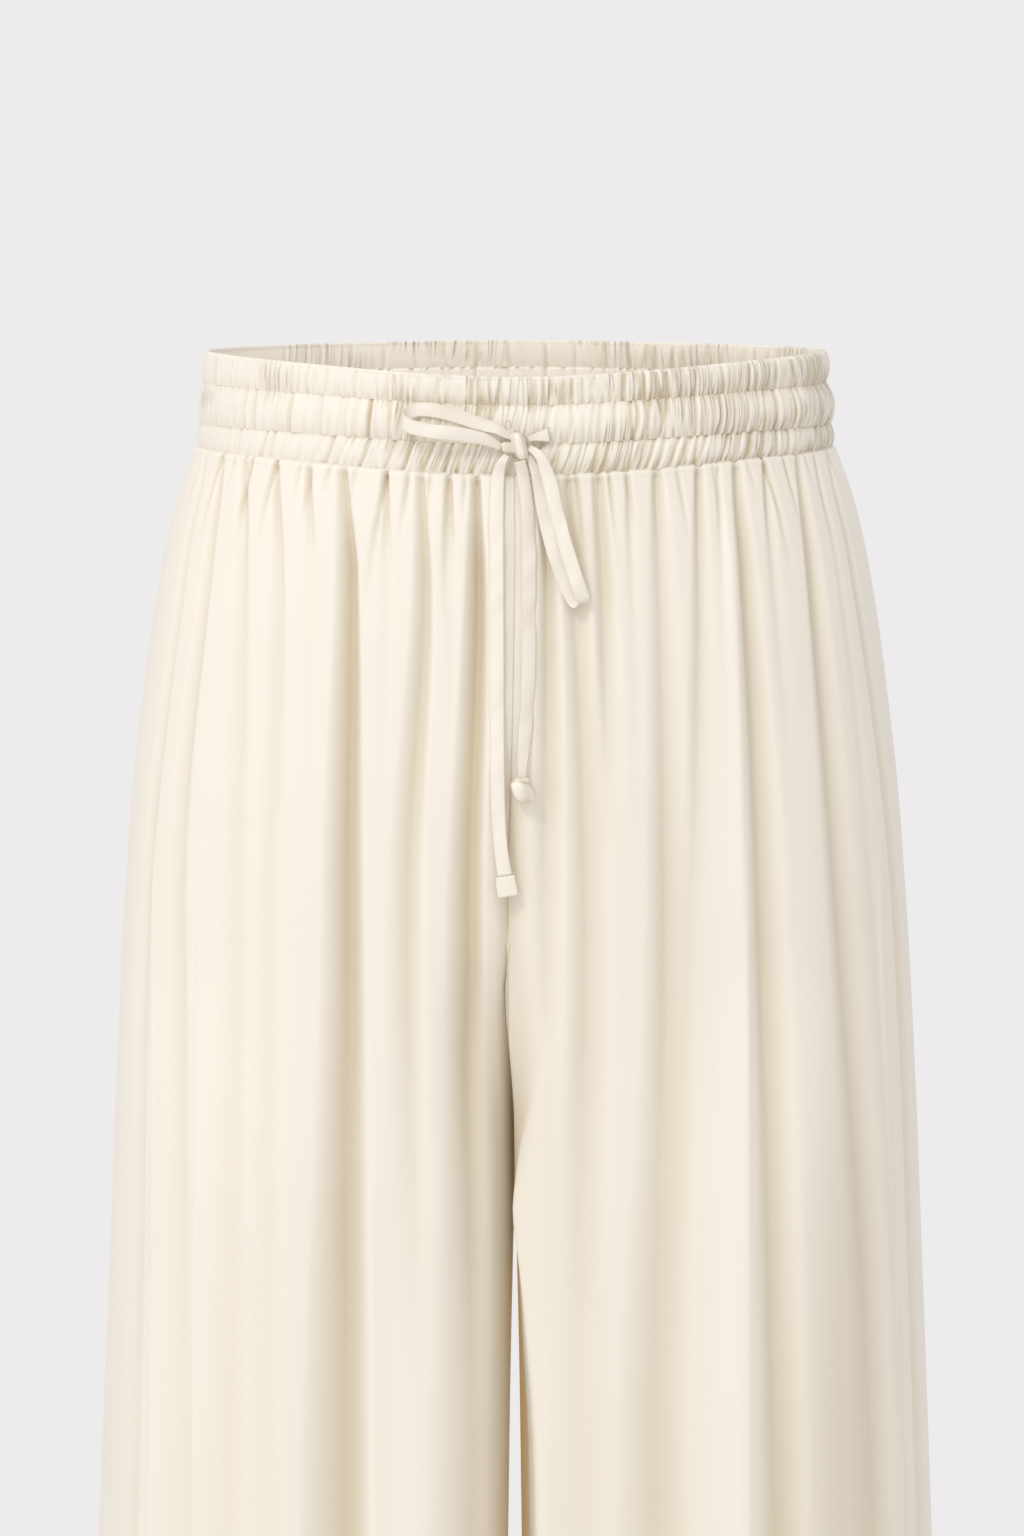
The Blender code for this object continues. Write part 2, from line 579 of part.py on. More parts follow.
def rounded(name, knot, material):
    """A rounded lump of knotted tape."""
    across, below_front_rim, out, half_width, half_height, half_depth = (v / 1000 for v in KNOTS[knot])
    mesh = bpy.data.meshes.new(name)
    shape = bmesh.new()
    bmesh.ops.create_uvsphere(shape, u_segments=14, v_segments=8, radius=1.0)
    for vertex in shape.verts:
        c = vertex.co
        squared = [math.copysign(abs(v) ** KNOT_ROUNDING, v) for v in c]
        vertex.co = (squared[0] * half_width, squared[1] * half_depth, squared[2] * half_height)
    y = -front_cloth(np.array([across]), np.array([below_front_rim]))[0] - out
    bmesh.ops.translate(shape, verts=shape.verts, vec=(across, y, RIM_Z - FRONT_DIP - below_front_rim))
    shape.to_mesh(mesh)
    shape.free()
    mesh.materials.append(material)
    mesh.shade_smooth()
    made = bpy.data.objects.new(name, mesh)
    bpy.context.scene.collection.objects.link(made)
    return made


def drawstring(material):
    """The tape comes out of two buttonholes and is tied in a bow with two hanging ends."""
    knot = rounded("drawstring_knot", "wrap", material)
    lobe = rounded("knot_lobe", "lobe", material)
    lobe.hide_render = True
    lobe.display_type = "WIRE"
    join = knot.modifiers.new("lobe", "BOOLEAN")
    join.operation = "UNION"
    join.object = lobe
    rounded("drawstring_end_knot", "at_end", material)
    tape("run_left", 4, (1, 0, -0.5), material)
    tape("run_right", 5, (0, 0, 1), material)
    tape("loop_left", 26, (0, 0, 1), material)
    tape("loop_right", 30, (0.94, 0, 0.34), material)
    tape("end_left", 26, (1, 0, 0), material)
    tape("end_middle", 22, (1, 0, 0), material)
    tape("end_tab", 3, (1, 0, 0), material)


def cloth_material(name, colour):
    material = bpy.data.materials.new(name)
    material.use_nodes = True
    shader = material.node_tree.nodes["Principled BSDF"]
    shader.inputs["Base Color"].default_value = (*colour, 1)
    shader.inputs["Roughness"].default_value = 0.45
    shader.inputs["Metallic"].default_value = 0.0
    return material


for old in list(bpy.data.objects):
    bpy.data.objects.remove(old)

satin = cloth_material("cream_satin", (0.83, 0.77, 0.66))
leg_panel("front_left_leg", 1, "front", satin)
leg_panel("front_right_leg", -1, "front", satin)
leg_panel("back_left_leg", 1, "back", satin)
leg_panel("back_right_leg", -1, "back", satin)
waistband(satin)
drawstring(satin)
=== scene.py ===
"""Looks of the wide-leg satin trousers: cloth, gathers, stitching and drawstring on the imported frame.

Metres, +Z up, the front faces -Y and the wearer's left is at +X, as in the CAD.
"""

import math

import bpy
import numpy as np
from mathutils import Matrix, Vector


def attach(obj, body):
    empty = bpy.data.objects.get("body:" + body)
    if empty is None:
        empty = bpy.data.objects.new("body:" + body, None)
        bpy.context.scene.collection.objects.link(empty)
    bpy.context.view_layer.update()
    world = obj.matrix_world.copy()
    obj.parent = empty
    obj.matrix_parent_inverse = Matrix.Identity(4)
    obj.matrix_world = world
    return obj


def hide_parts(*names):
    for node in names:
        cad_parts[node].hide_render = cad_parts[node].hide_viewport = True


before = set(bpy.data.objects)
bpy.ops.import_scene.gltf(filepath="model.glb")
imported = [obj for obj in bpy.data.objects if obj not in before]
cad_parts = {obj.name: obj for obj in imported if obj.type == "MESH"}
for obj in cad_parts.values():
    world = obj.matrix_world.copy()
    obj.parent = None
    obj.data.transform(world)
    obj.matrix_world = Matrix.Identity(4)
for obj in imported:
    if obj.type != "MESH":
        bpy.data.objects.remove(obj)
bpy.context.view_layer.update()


# Camera: the photograph is taken from straight in front, with the lens a little above the waist.
# The picture's height takes in 0.715 m at the middle of the garment.
PHOTO_HEIGHT_M = 0.715
CAMERA_AWAY = 3.5
CAMERA_TILT = math.radians(5)
LOOK_AT = Vector((-0.0014, 0.0, -0.1716))

lens = bpy.data.cameras.new("camera")
lens.sensor_width = 36
lens.lens = lens.sensor_width * CAMERA_AWAY / PHOTO_HEIGHT_M
lens.clip_end = 50
camera = bpy.data.objects.new("camera", lens)
towards = Vector((0, -math.cos(CAMERA_TILT), math.sin(CAMERA_TILT)))
camera.location = LOOK_AT + towards * CAMERA_AWAY
camera.rotation_euler = towards.to_track_quat("Z", "Y").to_euler()
bpy.context.scene.collection.objects.link(camera)
bpy.context.scene.camera = camera


# Light and floor: an evenly pale studio, one broad soft lamp from the left and in front, and a
# round pale floor under the hems. The floor lies below what the photograph shows.
class Wire:
    """An output of a shader tree that can be used in sums. Sums add Math nodes to the tree."""

    def __init__(self, tree, socket=None):
        self.tree, self.socket = tree, socket

    def make(self, kind, output=0, settings=None, **values):
        """Any other node. A value is a number, a tuple or a wire, and _ in its name is a space."""
        node = self.tree.nodes.new(kind)
        for key, value in (settings or {}).items():
            setattr(node, key, value)
        for key, value in values.items():
            self.feed(value, node.inputs[key.replace("_", " ")])
        return Wire(self.tree, node.outputs[output])

    def feed(self, value, target):
        if isinstance(value, Wire):
            self.tree.links.new(value.socket, target)
        else:
            target.default_value = value

    def sum(self, operation, *values):
        vector = any(isinstance(v, tuple) for v in values)
        node = self.tree.nodes.new("ShaderNodeVectorMath" if vector else "ShaderNodeMath")
        node.operation = operation
        for value, target in zip(values, node.inputs):
            self.feed(value, target)
        return Wire(self.tree, node.outputs["Value" if operation == "DOT_PRODUCT" else 0])

    def __add__(self, other):
        return self.sum("ADD", self, other)

    def __sub__(self, other):
        return self.sum("SUBTRACT", self, other)

    def __mul__(self, other):
        return self.sum("MULTIPLY", self, other)

    def __rsub__(self, other):
        return self.sum("SUBTRACT", other, self)

    __radd__ = __add__
    __rmul__ = __mul__

    def wave(self):
        return self.sum("SINE", self)

    def clipped(self):
        return self.sum("MINIMUM", self.sum("MAXIMUM", self, 0.0), 1.0)

    def away_from(self, value):
        """How far it is from this value, to either side."""
        gap = self - value
        return gap.sum("ABSOLUTE", gap)

    def noise(self, scale, detail):
        """Soft noise over these places, so many to the metre each way."""
        return self.make("ShaderNodeTexNoise", Vector=self * scale, Scale=1.0, Detail=detail)

    def blend(self, first, second):
        """A colour between the two, by this share."""
        node = self.tree.nodes.new("ShaderNodeMix")
        node.data_type = "RGBA"
        self.feed(self, node.inputs["Factor"])
        self.feed(first, node.inputs[6])
        self.feed(second, node.inputs[7])
        return Wire(self.tree, node.outputs[2])


PALE_GREY = (0.847, 0.831, 0.838, 1)
DIM_GREY = (0.56, 0.545, 0.53, 1)
WINDOW_WHITE = (1.08, 1.07, 1.06, 1)
studio = bpy.data.worlds.new("studio")
studio.use_nodes = True
background = studio.node_tree.nodes["Background"]
air = Wire(studio.node_tree)
direction = air.make("ShaderNodeTexCoord", output="Generated")
ahead = air.make("ShaderNodeSeparateXYZ", output="Y", Vector=direction)
frontward = direction.sum("DOT_PRODUCT", direction, (-0.40, -0.76, 0.52))
behind_camera = (0.5 - ahead * 1.4).clipped()
window = (frontward * 1.15 + 0.08).clipped()
room = behind_camera.blend(PALE_GREY, window.blend(DIM_GREY, WINDOW_WHITE))
air.feed(room, background.inputs["Color"])
background.inputs["Strength"].default_value = 1.0
bpy.context.scene.world = studio
bpy.context.scene.view_settings.view_transform = "Standard"

LAMP_PLACE = Vector((-1.6, -2.8, 2.7))
LAMP_AIM = Vector((0, 0, -0.3))
lamp = bpy.data.lights.new("key_lamp", "AREA")
lamp.size = 0.9
lamp.energy = 34
lamp.color = (1.0, 1.0, 0.99)
lamp_object = bpy.data.objects.new("key_lamp", lamp)
lamp_object.location = LAMP_PLACE
lamp_object.rotation_euler = (LAMP_PLACE - LAMP_AIM).to_track_quat("Z", "Y").to_euler()
bpy.context.scene.collection.objects.link(lamp_object)


def ring_faces(rings, corners, first=0, closed=False):
    """Faces from each ring of corners to the next one and, if closed, from the last to the first."""
    faces = []
    for i in range(rings if closed else rings - 1):
        ring, following = first + i * corners, first + (i + 1) % rings * corners
        for k in range(corners):
            n = (k + 1) % corners
            faces.append((ring + k, ring + n, following + n, following + k))
    return faces


def turned(faces):
    """The same faces, looking the other way."""
    return [(a, d, c, b) for a, b, c, d in faces]


FLOOR_Z = -1.075
FLOOR_RADIUS = 1.1
FLOOR_SIDES = 96
around = np.linspace(0, 2 * math.pi, FLOOR_SIDES, endpoint=False)
floor_rings = [(0.5 * FLOOR_RADIUS, FLOOR_Z), (FLOOR_RADIUS, FLOOR_Z), (FLOOR_RADIUS, FLOOR_Z - 0.01)]
floor_points = [(0, 0, FLOOR_Z)]
for radius, z in floor_rings:
    floor_points += [(radius * math.cos(a), radius * math.sin(a), z) for a in around]
floor_faces = [(0, 1 + k, 1 + (k + 1) % FLOOR_SIDES) for k in range(FLOOR_SIDES)]
floor_faces += turned(ring_faces(len(floor_rings), FLOOR_SIDES, first=1))
floor_mesh = bpy.data.meshes.new("floor")
floor_mesh.from_pydata(floor_points, [], floor_faces)
floor_paint = bpy.data.materials.new("floor_paint")
floor_paint.use_nodes = True
floor_shader = floor_paint.node_tree.nodes["Principled BSDF"]
floor_shader.inputs["Base Color"].default_value = (0.80, 0.79, 0.79, 1)
floor_shader.inputs["Roughness"].default_value = 0.8
floor_mesh.materials.append(floor_paint)
floor = bpy.data.objects.new("floor", floor_mesh)
bpy.context.scene.collection.objects.link(floor)


# Drawstring: a flat tape of the same satin, folded lengthwise and edge-stitched. It runs inside the
# middle casing, comes out of two buttonholes and is tied in a bow with two free hanging ends. One
# end is knotted, and the other is turned up into a stitched tab.
WEAVE_HEIGHT = 0.00005
# Painted shade: how much less red, green and blue the colour has deep in a fold
FOLD_PAINTED_SHADE = (0.76, 0.70, 0.58)
# How much a fine gather counts as a fold, for its painted shade
GATHER_SHADE = 0.75
# Along the band's cloth, these places lie at the wearer's right and left ends of its front
RIGHT_END, LEFT_END = 0.44, 0.69


def satin(name, pale, deep, painted_glow_colour, gather_depth=0.0):
    """Satin: a fine weave of long floating threads, faint slubs along them, and a soft sheen.

    Deep in a fold the colour is painted darker and warmer, as painted shade, and where little light
    falls the cloth gives off a painted glow. Gathered cloth has fine creases too, also painted darker.
    """
    material = bpy.data.materials.new(name)
    material.use_nodes = True
    tree = material.node_tree
    shader = tree.nodes["Principled BSDF"]
    start = Wire(tree)
    cloth = start.make("ShaderNodeUVMap", settings={"uv_map": "cloth"})
    threads = cloth.noise((2400.0, 110.0, 1.0), 2.0)
    slubs = cloth.noise((520.0, 9.0, 1.0), 3.0)
    clouds = cloth.noise((14.0, 7.0, 1.0), 3.0)
    across = start.make("ShaderNodeSeparateXYZ", output="X", Vector=cloth * (5200.0, 5200.0, 1.0))
    weave = across.wave() * 0.5 + 0.5
    share = (slubs * 0.35 + clouds * 0.65 + threads * 0.20 - 0.10).clipped()
    fold = start.make("ShaderNodeAttribute", output="Fac", settings={"attribute_name": "fold"})
    height = (threads * 0.5 + slubs * 0.35 + weave * 0.15) * WEAVE_HEIGHT
    if gather_depth:
        # A thin line wherever the noise crosses its middle value
        lines = (1.0 - cloth.noise((200.0, 16.0, 1.0), 0.0).away_from(0.5) * 14.0).clipped()
        thin = (1.0 - cloth.noise((480.0, 30.0, 1.0), 0.0).away_from(0.5) * 9.0).clipped()
        # They come in patches, with fewer towards the wearer's right in front and more towards the left
        side = start.make("ShaderNodeSeparateXYZ", output="X", Vector=cloth)
        fewer = (1.0 - side.away_from(RIGHT_END) * 7.0).clipped()
        more = (1.0 - side.away_from(LEFT_END) * 7.0).clipped()
        patches = cloth.noise((30.0, 60.0, 1.0), 0.0) * 5.0 - 1.9 - 1.5 * fewer + 0.5 * more
        groove = (lines * 0.8 + thin * 0.5) * patches.clipped()
        height = height - groove * gather_depth
        # The fine creases are painted darker too, as shade
        fold = fold + groove * GATHER_SHADE
    plain = share.blend((*deep, 1), (*pale, 1))
    # Painted shade: the deeper in a fold, the darker and warmer the base colour
    painted_shade_colour = tuple(d * w for d, w in zip(deep, FOLD_PAINTED_SHADE))
    start.feed(fold.clipped().blend(plain, (*painted_shade_colour, 1)), shader.inputs["Base Color"])
    start.feed(0.37 + 0.10 * slubs, shader.inputs["Roughness"])
    bump = start.make("ShaderNodeBump", Height=height, Strength=1.0, Distance=1.0)
    start.feed(bump, shader.inputs["Normal"])
    # Painted light: where little light falls on the cloth, it gives off a faint glow, as if light came
    # through it from behind
    painted_glow = start.make("ShaderNodeAttribute", output="Fac", settings={"attribute_name": "painted_glow"})
    start.feed(painted_glow.clipped().blend((0, 0, 0, 1), (*painted_glow_colour, 1)), shader.inputs["Emission Color"])
    for setting, value in (
        ("Emission Strength", 1.0),
        ("Specular IOR Level", 0.40),
        ("Anisotropic", 0.35),
        ("Sheen Weight", 0.12),
        ("Sheen Roughness", 0.45),
        ("Sheen Tint", (1.0, 0.96, 0.90, 1)),
    ):
        shader.inputs[setting].default_value = value
    return material


# The worn outline, as in the CAD, but with no gap between the pieces: how far below the rim, half the
# whole width, depth to the front and to the back, how far each leg's inner edge hangs from the
# middle, and how square the trunk is
OUTLINE = {
    "columns": ("below_rim", "half_width", "front", "back", "inner", "trunk_power"),
    "rows": (
        (0.045, 0.1480, 0.1030, 0.1050, 0.0000, 2.15),
        (0.068, 0.1560, 0.1080, 0.1150, 0.0000, 2.20),
        (0.088, 0.1610, 0.1110, 0.1220, 0.0000, 2.25),
        (0.125, 0.1675, 0.1150, 0.1300, 0.0000, 2.40),
        (0.162, 0.1725, 0.1175, 0.1350, 0.0000, 2.50),
        (0.200, 0.1770, 0.1195, 0.1370, 0.0000, 2.62),
        (0.255, 0.1812, 0.1205, 0.1360, 0.0000, 2.75),
        (0.330, 0.1855, 0.1210, 0.1330, 0.0000, 2.75),
        (0.385, 0.1880, 0.1210, 0.1315, 0.0000, 2.75),
        (0.410, 0.1890, 0.1210, 0.1309, 0.0006, 2.75),
        (0.478, 0.1920, 0.1215, 0.1300, 0.0021, 2.75),
        (0.548, 0.1950, 0.1220, 0.1300, 0.0031, 2.75),
        (0.800, 0.2040, 0.1250, 0.1340, 0.0070, 2.75),
        (1.045, 0.2125, 0.1290, 0.1390, 0.0115, 2.75),
    ),
}
BAND_HEIGHT = 0.045
RIM_Z = BAND_HEIGHT / 2
FRONT_DIP = 0.0090
BACK_DIP = -0.0015
DIP_ENDS = 0.20
WAIST_POWER = 2.15
BAND_RIM_HALF_WIDTH = 0.1440
BAND_RIM_DEPTH = 0.0995
BAND_SPREAD = 0.0032
BAND_PUFFS = {
    "below_rim": (0.0, 0.0063, 0.0126, 0.0213, 0.0300, 0.0376, 0.0447),
    "puff": (0.0002, 0.0012, -0.0008, 0.0025, -0.0006, 0.0015, 0.0),
}
SEAM_HIDES_FROM = 0.036


def smooth_step(x):
    """0 below 0, 1 above 1, and eased between."""
    x = np.clip(x, 0.0, 1.0)
    return x * x * (3 - 2 * x)


def bell(x):
    """1 at 0, and falling softly to nothing within about 2 on both sides."""
    return np.exp(-(x**2))


def unit(vectors):
    """The same directions, each with a length of 1."""
    return vectors / np.linalg.norm(vectors, axis=1)[:, None]


def lengths_along(line):
    """How far along the line each of its points lies."""
    return np.concatenate([[0], np.cumsum(np.linalg.norm(np.diff(line, axis=0), axis=1))])


def at_lengths(rows, along, at):
    """The rows that lie at these lengths along a line, from those that lie along it."""
    return np.stack([np.interp(at, along, column) for column in rows.T], axis=1)


def curve(values, slopes, span, i, t):
    """A curve from the i-th of the values to the next, with these slopes at its ends."""
    return (
        values[i] * (1 + 2 * t) * (1 - t) ** 2
        + values[i + 1] * t * t * (3 - 2 * t)
        + span * (slopes[i] * t * (1 - t) ** 2 - slopes[i + 1] * t * t * (1 - t))
    )


def eased(levels, values, at):
    """A smooth curve through the values at the levels, without overshoot."""
    levels, values = np.asarray(levels, float), np.asarray(values, float)
    step = np.diff(levels)
    rise = np.diff(values) / step
    slope = np.zeros(len(values))
    same_way = rise[:-1] * rise[1:] > 0
    mean = 2 * rise[:-1] * rise[1:] / np.where(same_way, rise[:-1] + rise[1:], 1.0)
    slope[1:-1] = np.where(same_way, mean, 0.0)
    slope[0], slope[-1] = rise[0], rise[-1]
    at = np.clip(at, levels[0], levels[-1])
    i = np.clip(np.searchsorted(levels, at) - 1, 0, len(step) - 1)
    return curve(values, slope, step[i], i, (at - levels[i]) / step[i])


def at_level(table, column, below_rim):
    """One column of a table at a level, from the column that states the levels."""
    return eased(table["below_rim"], table[column], below_rim)


def outline(name, below_rim):
    """One column of the outline table at a level."""
    rows = np.array(OUTLINE["rows"])
    return float(eased(rows[:, 0], rows[:, OUTLINE["columns"].index(name)], below_rim))


def front_cloth(x, below_front_rim):
    """How far forward the ridges of the front cloth stand at these places."""
    grow = BAND_SPREAD * np.minimum(below_front_rim / BAND_HEIGHT, 1)
    grow = grow + at_level(BAND_PUFFS, "puff", below_front_rim)
    band_ratio = np.abs(x / (BAND_RIM_HALF_WIDTH + grow)) ** WAIST_POWER
    band = (BAND_RIM_DEPTH + grow) * (1 - band_ratio) ** (1 / WAIST_POWER)
    fade = smooth_step((below_front_rim - BAND_HEIGHT) / (DIP_ENDS - BAND_HEIGHT))
    level = np.maximum(below_front_rim + FRONT_DIP * fade, BAND_HEIGHT)
    half, depth, power = (
        np.array([outline(name, b) for b in level]) for name in ("half_width", "front", "trunk_power")
    )
    leg = depth * (1 - np.abs(x / half) ** power) ** (1 / power)
    lower = np.maximum(band, leg * (below_front_rim > SEAM_HIDES_FROM))
    return np.where(below_front_rim < BAND_HEIGHT, lower, leg)


def smooth_route(rows, count):
    """Points evenly spaced along a smooth curve through the rows, with their widths."""
    rows = np.array(rows, float) / 1000
    y = -front_cloth(rows[:, 0], rows[:, 1]) - rows[:, 2]
    points = np.stack([rows[:, 0], y, RIM_Z - FRONT_DIP - rows[:, 1]], axis=1)
    steps = np.linalg.norm(np.diff(points, axis=0), axis=1)
    knots = np.concatenate([[0], np.cumsum(np.sqrt(steps))])
    full = np.concatenate([points, rows[:, 3:4]], axis=1)
    fine = np.linspace(0, knots[-1], 40 * len(rows))
    slopes = np.gradient(full, knots, axis=0)
    i = np.clip(np.searchsorted(knots, fine) - 1, 0, len(steps) - 1)
    span = (knots[i + 1] - knots[i])[:, None]
    line = curve(full, slopes, span, i, ((fine - knots[i]) / span[:, 0])[:, None])
    along = lengths_along(line[:, :3])
    return at_lengths(line, along, np.linspace(0, along[-1], count))


def new_piece(name, points, faces, cloth_places, folds, material, slot, *nodes, painted_glows=None):
    """A visible piece that stands for these CAD nodes.

    Its places on the cloth are its UVs. From 0 to 1, folds says how much painted shade each point has,
    and glows how strong a painted glow the cloth gives off there.
    """
    mesh = bpy.data.meshes.new(name)
    mesh.from_pydata(np.asarray(points).tolist(), [], faces)
    layer = mesh.uv_layers.new(name="cloth")
    corners = np.zeros(len(mesh.loops), np.int32)
    mesh.loops.foreach_get("vertex_index", corners)
    layer.data.foreach_set("uv", np.asarray(cloth_places, np.float32)[corners].ravel())
    for attribute, values in (("fold", folds), ("painted_glow", painted_glows)):
        if values is not None:
            layer = mesh.attributes.new(attribute, "FLOAT", "POINT")
            layer.data.foreach_set("value", np.asarray(values, np.float32))
    mesh.materials.append(material)
    mesh.shade_smooth()
    piece = bpy.data.objects.new(name, mesh)
    bpy.context.scene.collection.objects.link(piece)
    if nodes:
        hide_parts(*nodes)
    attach(piece, "root")
    return piece


# A row for each point of the tape's way, in millimetres, as in the CAD: across from the middle,
# below the front rim, out from the cloth behind it, and the width of the tape there
TAPE_ROUTES = {
    "columns": ("across", "below_front_rim", "out", "width"),
    "run_left": (
        (-1.3, 26.4, 2.6, 2.6), (-2.0, 25.0, 1.9, 3.4), (-2.9, 23.4, 1.2, 4.4),
    ),
    "run_right": (
        (5.8, 27.2, 3.8, 2.4), (9.0, 26.6, 3.2, 3.6), (12.6, 25.9, 2.2, 5.4), (15.2, 25.6, 1.3, 6.6),
    ),
    "loop_left": (
        (-1.5, 26.6, 4.8, 2.6), (-4.2, 25.2, 4.7, 3.4), (-8.5, 22.6, 4.3, 4.8),
        (-15.6, 20.6, 3.6, 6.0), (-26.8, 16.9, 3.2, 6.5), (-37.0, 14.6, 3.2, 6.5),
        (-44.5, 14.5, 3.7, 6.5), (-49.0, 16.5, 5.2, 6.5), (-50.3, 19.1, 7.4, 6.5),
        (-47.6, 21.4, 9.0, 6.5), (-38.0, 23.6, 9.2, 6.5), (-24.6, 25.2, 8.6, 6.5),
        (-13.0, 27.7, 7.0, 5.4), (-6.3, 31.0, 4.8, 3.2),
    ),
    "loop_right": (
        (6.5, 31.1, 6.0, 2.6), (11.0, 34.9, 7.4, 4.6), (15.0, 44.5, 8.0, 6.3), (18.3, 58.5, 7.8, 6.5),
        (22.0, 72.5, 7.4, 6.5), (26.2, 86.0, 7.0, 6.5), (29.6, 96.0, 6.6, 6.5), (30.4, 99.7, 5.4, 6.5),
        (27.6, 100.5, 3.6, 6.5), (24.4, 96.1, 2.6, 6.5), (20.4, 86.5, 2.4, 6.5),
        (15.6, 71.5, 2.5, 6.5), (11.8, 54.5, 2.6, 6.0), (9.2, 42.1, 2.9, 4.6), (6.0, 35.0, 3.4, 2.4),
    ),
    "end_left": (
        (-3.8, 34.6, 3.8, 3.0), (-5.8, 37.6, 3.6, 4.2), (-7.6, 43.5, 3.0, 5.8), (-8.3, 55.5, 2.6, 6.5),
        (-8.4, 78.5, 2.6, 6.5), (-8.3, 108.5, 2.5, 6.5), (-8.2, 143.5, 2.5, 6.5),
        (-8.0, 178.5, 2.5, 6.5), (-7.2, 202.0, 2.5, 6.3), (-5.8, 215.5, 2.5, 6.3),
        (-4.7, 222.9, 2.5, 6.5),
    ),
    "end_tab": (
        (-4.6, 223.2, 2.5, 8.6), (-3.9, 227.9, 2.5, 9.2), (-3.1, 232.5, 2.5, 9.2),
    ),
    "end_middle": (
        (2.2, 37.2, 4.6, 5.0), (3.6, 44.0, 3.4, 5.8), (5.4, 55.5, 2.7, 6.4), (6.2, 73.5, 2.6, 6.5),
        (6.3, 98.5, 2.5, 6.5), (6.2, 123.5, 2.5, 6.5), (5.6, 145.5, 2.5, 6.4), (4.2, 163.0, 2.6, 6.0),
        (3.3, 173.0, 3.4, 4.4), (3.2, 178.9, 4.9, 3.2),
    ),
}
TAPE_WIDTH = 0.0065
TAPE_THICKNESS = 0.0007
TAPE_STEP = 0.0008
TAPE_CORNERS = 20
# How round the edges are and how flat the faces, both with 1 for an ellipse
EDGE_ROUNDNESS, FACE_ROUNDNESS = 0.75, 0.40
TAPE_PLEAT, TAPE_RIPPLE = 0.00055, 0.00007
# The edge seam: how deep, how far out over the half width, and how wide
EDGE_SEAM, EDGE_SEAM_AT, EDGE_SEAM_REACH = 0.00013, 0.72, 0.07
# The tape's other face has its places on the cloth this far from the first face's
OTHER_FACE = 0.02


def tape(stretch, across, bow, turning, material):
    """A flat folded tape: rounded edges, an edge seam, and pleats where it is squeezed narrow.

    It bows over its width and turns a little to one side and the other along its way.
    """
    rough = smooth_route(TAPE_ROUTES[stretch], 200)
    length = np.linalg.norm(np.diff(rough[:, :3], axis=0), axis=1).sum()
    count = max(8, int(length / TAPE_STEP))
    route = smooth_route(TAPE_ROUTES[stretch], count)
    along = np.linspace(0, length, count)
    tangent = unit(np.gradient(route[:, :3], axis=0))
    across = np.array(across, float)
    level = unit(across - (tangent @ across)[:, None] * tangent)
    upright = np.cross(tangent, level)
    angle = turning * (np.sin(along * 150 + 0.6) + 0.6 * np.sin(along * 330))[:, None]
    wide = level * np.cos(angle) + upright * np.sin(angle)
    thick = upright * np.cos(angle) - level * np.sin(angle)
    turn = np.linspace(0, 2 * math.pi, TAPE_CORNERS, endpoint=False)
    # Corner places over the half width and half thickness, of a flat form with rounded edges
    over_width = np.sign(np.cos(turn)) * np.abs(np.cos(turn)) ** EDGE_ROUNDNESS
    over_depth = np.sign(np.sin(turn)) * np.abs(np.sin(turn)) ** FACE_ROUNDNESS
    squeezed = np.clip(1 - route[:, 3] / TAPE_WIDTH, 0, 1)[:, None]
    pleats = TAPE_PLEAT * squeezed * np.cos(over_width[None] * 7.5)
    curl = bow * (0.35 - over_width[None] ** 2) * (0.8 + 0.4 * np.sin(along[:, None] * 60 + 1.0))
    ripple = TAPE_RIPPLE * np.sin(along[:, None] * 410 + over_width[None] * 2.2)
    from_seam = (over_width[None] - EDGE_SEAM_AT) / EDGE_SEAM_REACH
    edge_seam = -EDGE_SEAM * bell(from_seam) * np.sign(over_depth)
    lift = over_depth[None] * TAPE_THICKNESS / 2 + curl + pleats + ripple + edge_seam
    points = (
        route[:, None, :3]
        + wide[:, None] * (over_width[None] * route[:, 3:4] / 2)[..., None]
        + thick[:, None] * lift[..., None]
    ).reshape(-1, 3)
    around = over_width * TAPE_WIDTH / 2 + over_depth * OTHER_FACE
    places = np.stack([np.tile(around, count), np.repeat(along, TAPE_CORNERS)], axis=1)
    faces = [tuple(range(TAPE_CORNERS))[::-1]]
    faces.append(tuple(TAPE_CORNERS * (count - 1) + k for k in range(TAPE_CORNERS)))
    faces += ring_faces(count, TAPE_CORNERS)
    node = "drawstring_" + stretch
    # Painted shade and painted light: the tape is painted darker and warmer at its edges and where it is
    # squeezed, and its edges glow a little
    edge = np.tile(1 - np.abs(over_depth), (count, 1))
    painted_shade = (0.35 * squeezed + 0.8 * edge).ravel()
    painted_glow = (0.8 * edge).ravel()
    piece = new_piece(
        node + "_tape", points, faces, places, painted_shade, material, "satin_tape", node, painted_glows=painted_glow
    )
    return piece, [tuple(p) for p in route[:, :3]], length


# The pale and deep tones of the satin, then the colour of its painted glow
tape_satin = satin("tape_satin", (0.905, 0.855, 0.77), (0.86, 0.80, 0.70), (0.14, 0.12, 0.09))

tape("run_left", (1, 0, -0.5), 0.0, 0.0, tape_satin)
tape("run_right", (0, 0.3, 1), 0.0002, 0.0, tape_satin)
tape("loop_left", (0, 0, 1), 0.0004, 0.16, tape_satin)
tape("loop_right", (0.94, 0, 0.34), 0.0004, 0.20, tape_satin)
end_left, end_left_way, end_left_length = tape("end_left", (1, -0.1, 0), 0.0003, 0.10, tape_satin)
end_middle, end_middle_way, end_middle_length = tape(
    "end_middle", (1, 0.45, 0), 0.0003, 0.12, tape_satin
)
end_tab = tape("end_tab", (1, 0, 0), 0.0001, 0.0, tape_satin)[0]

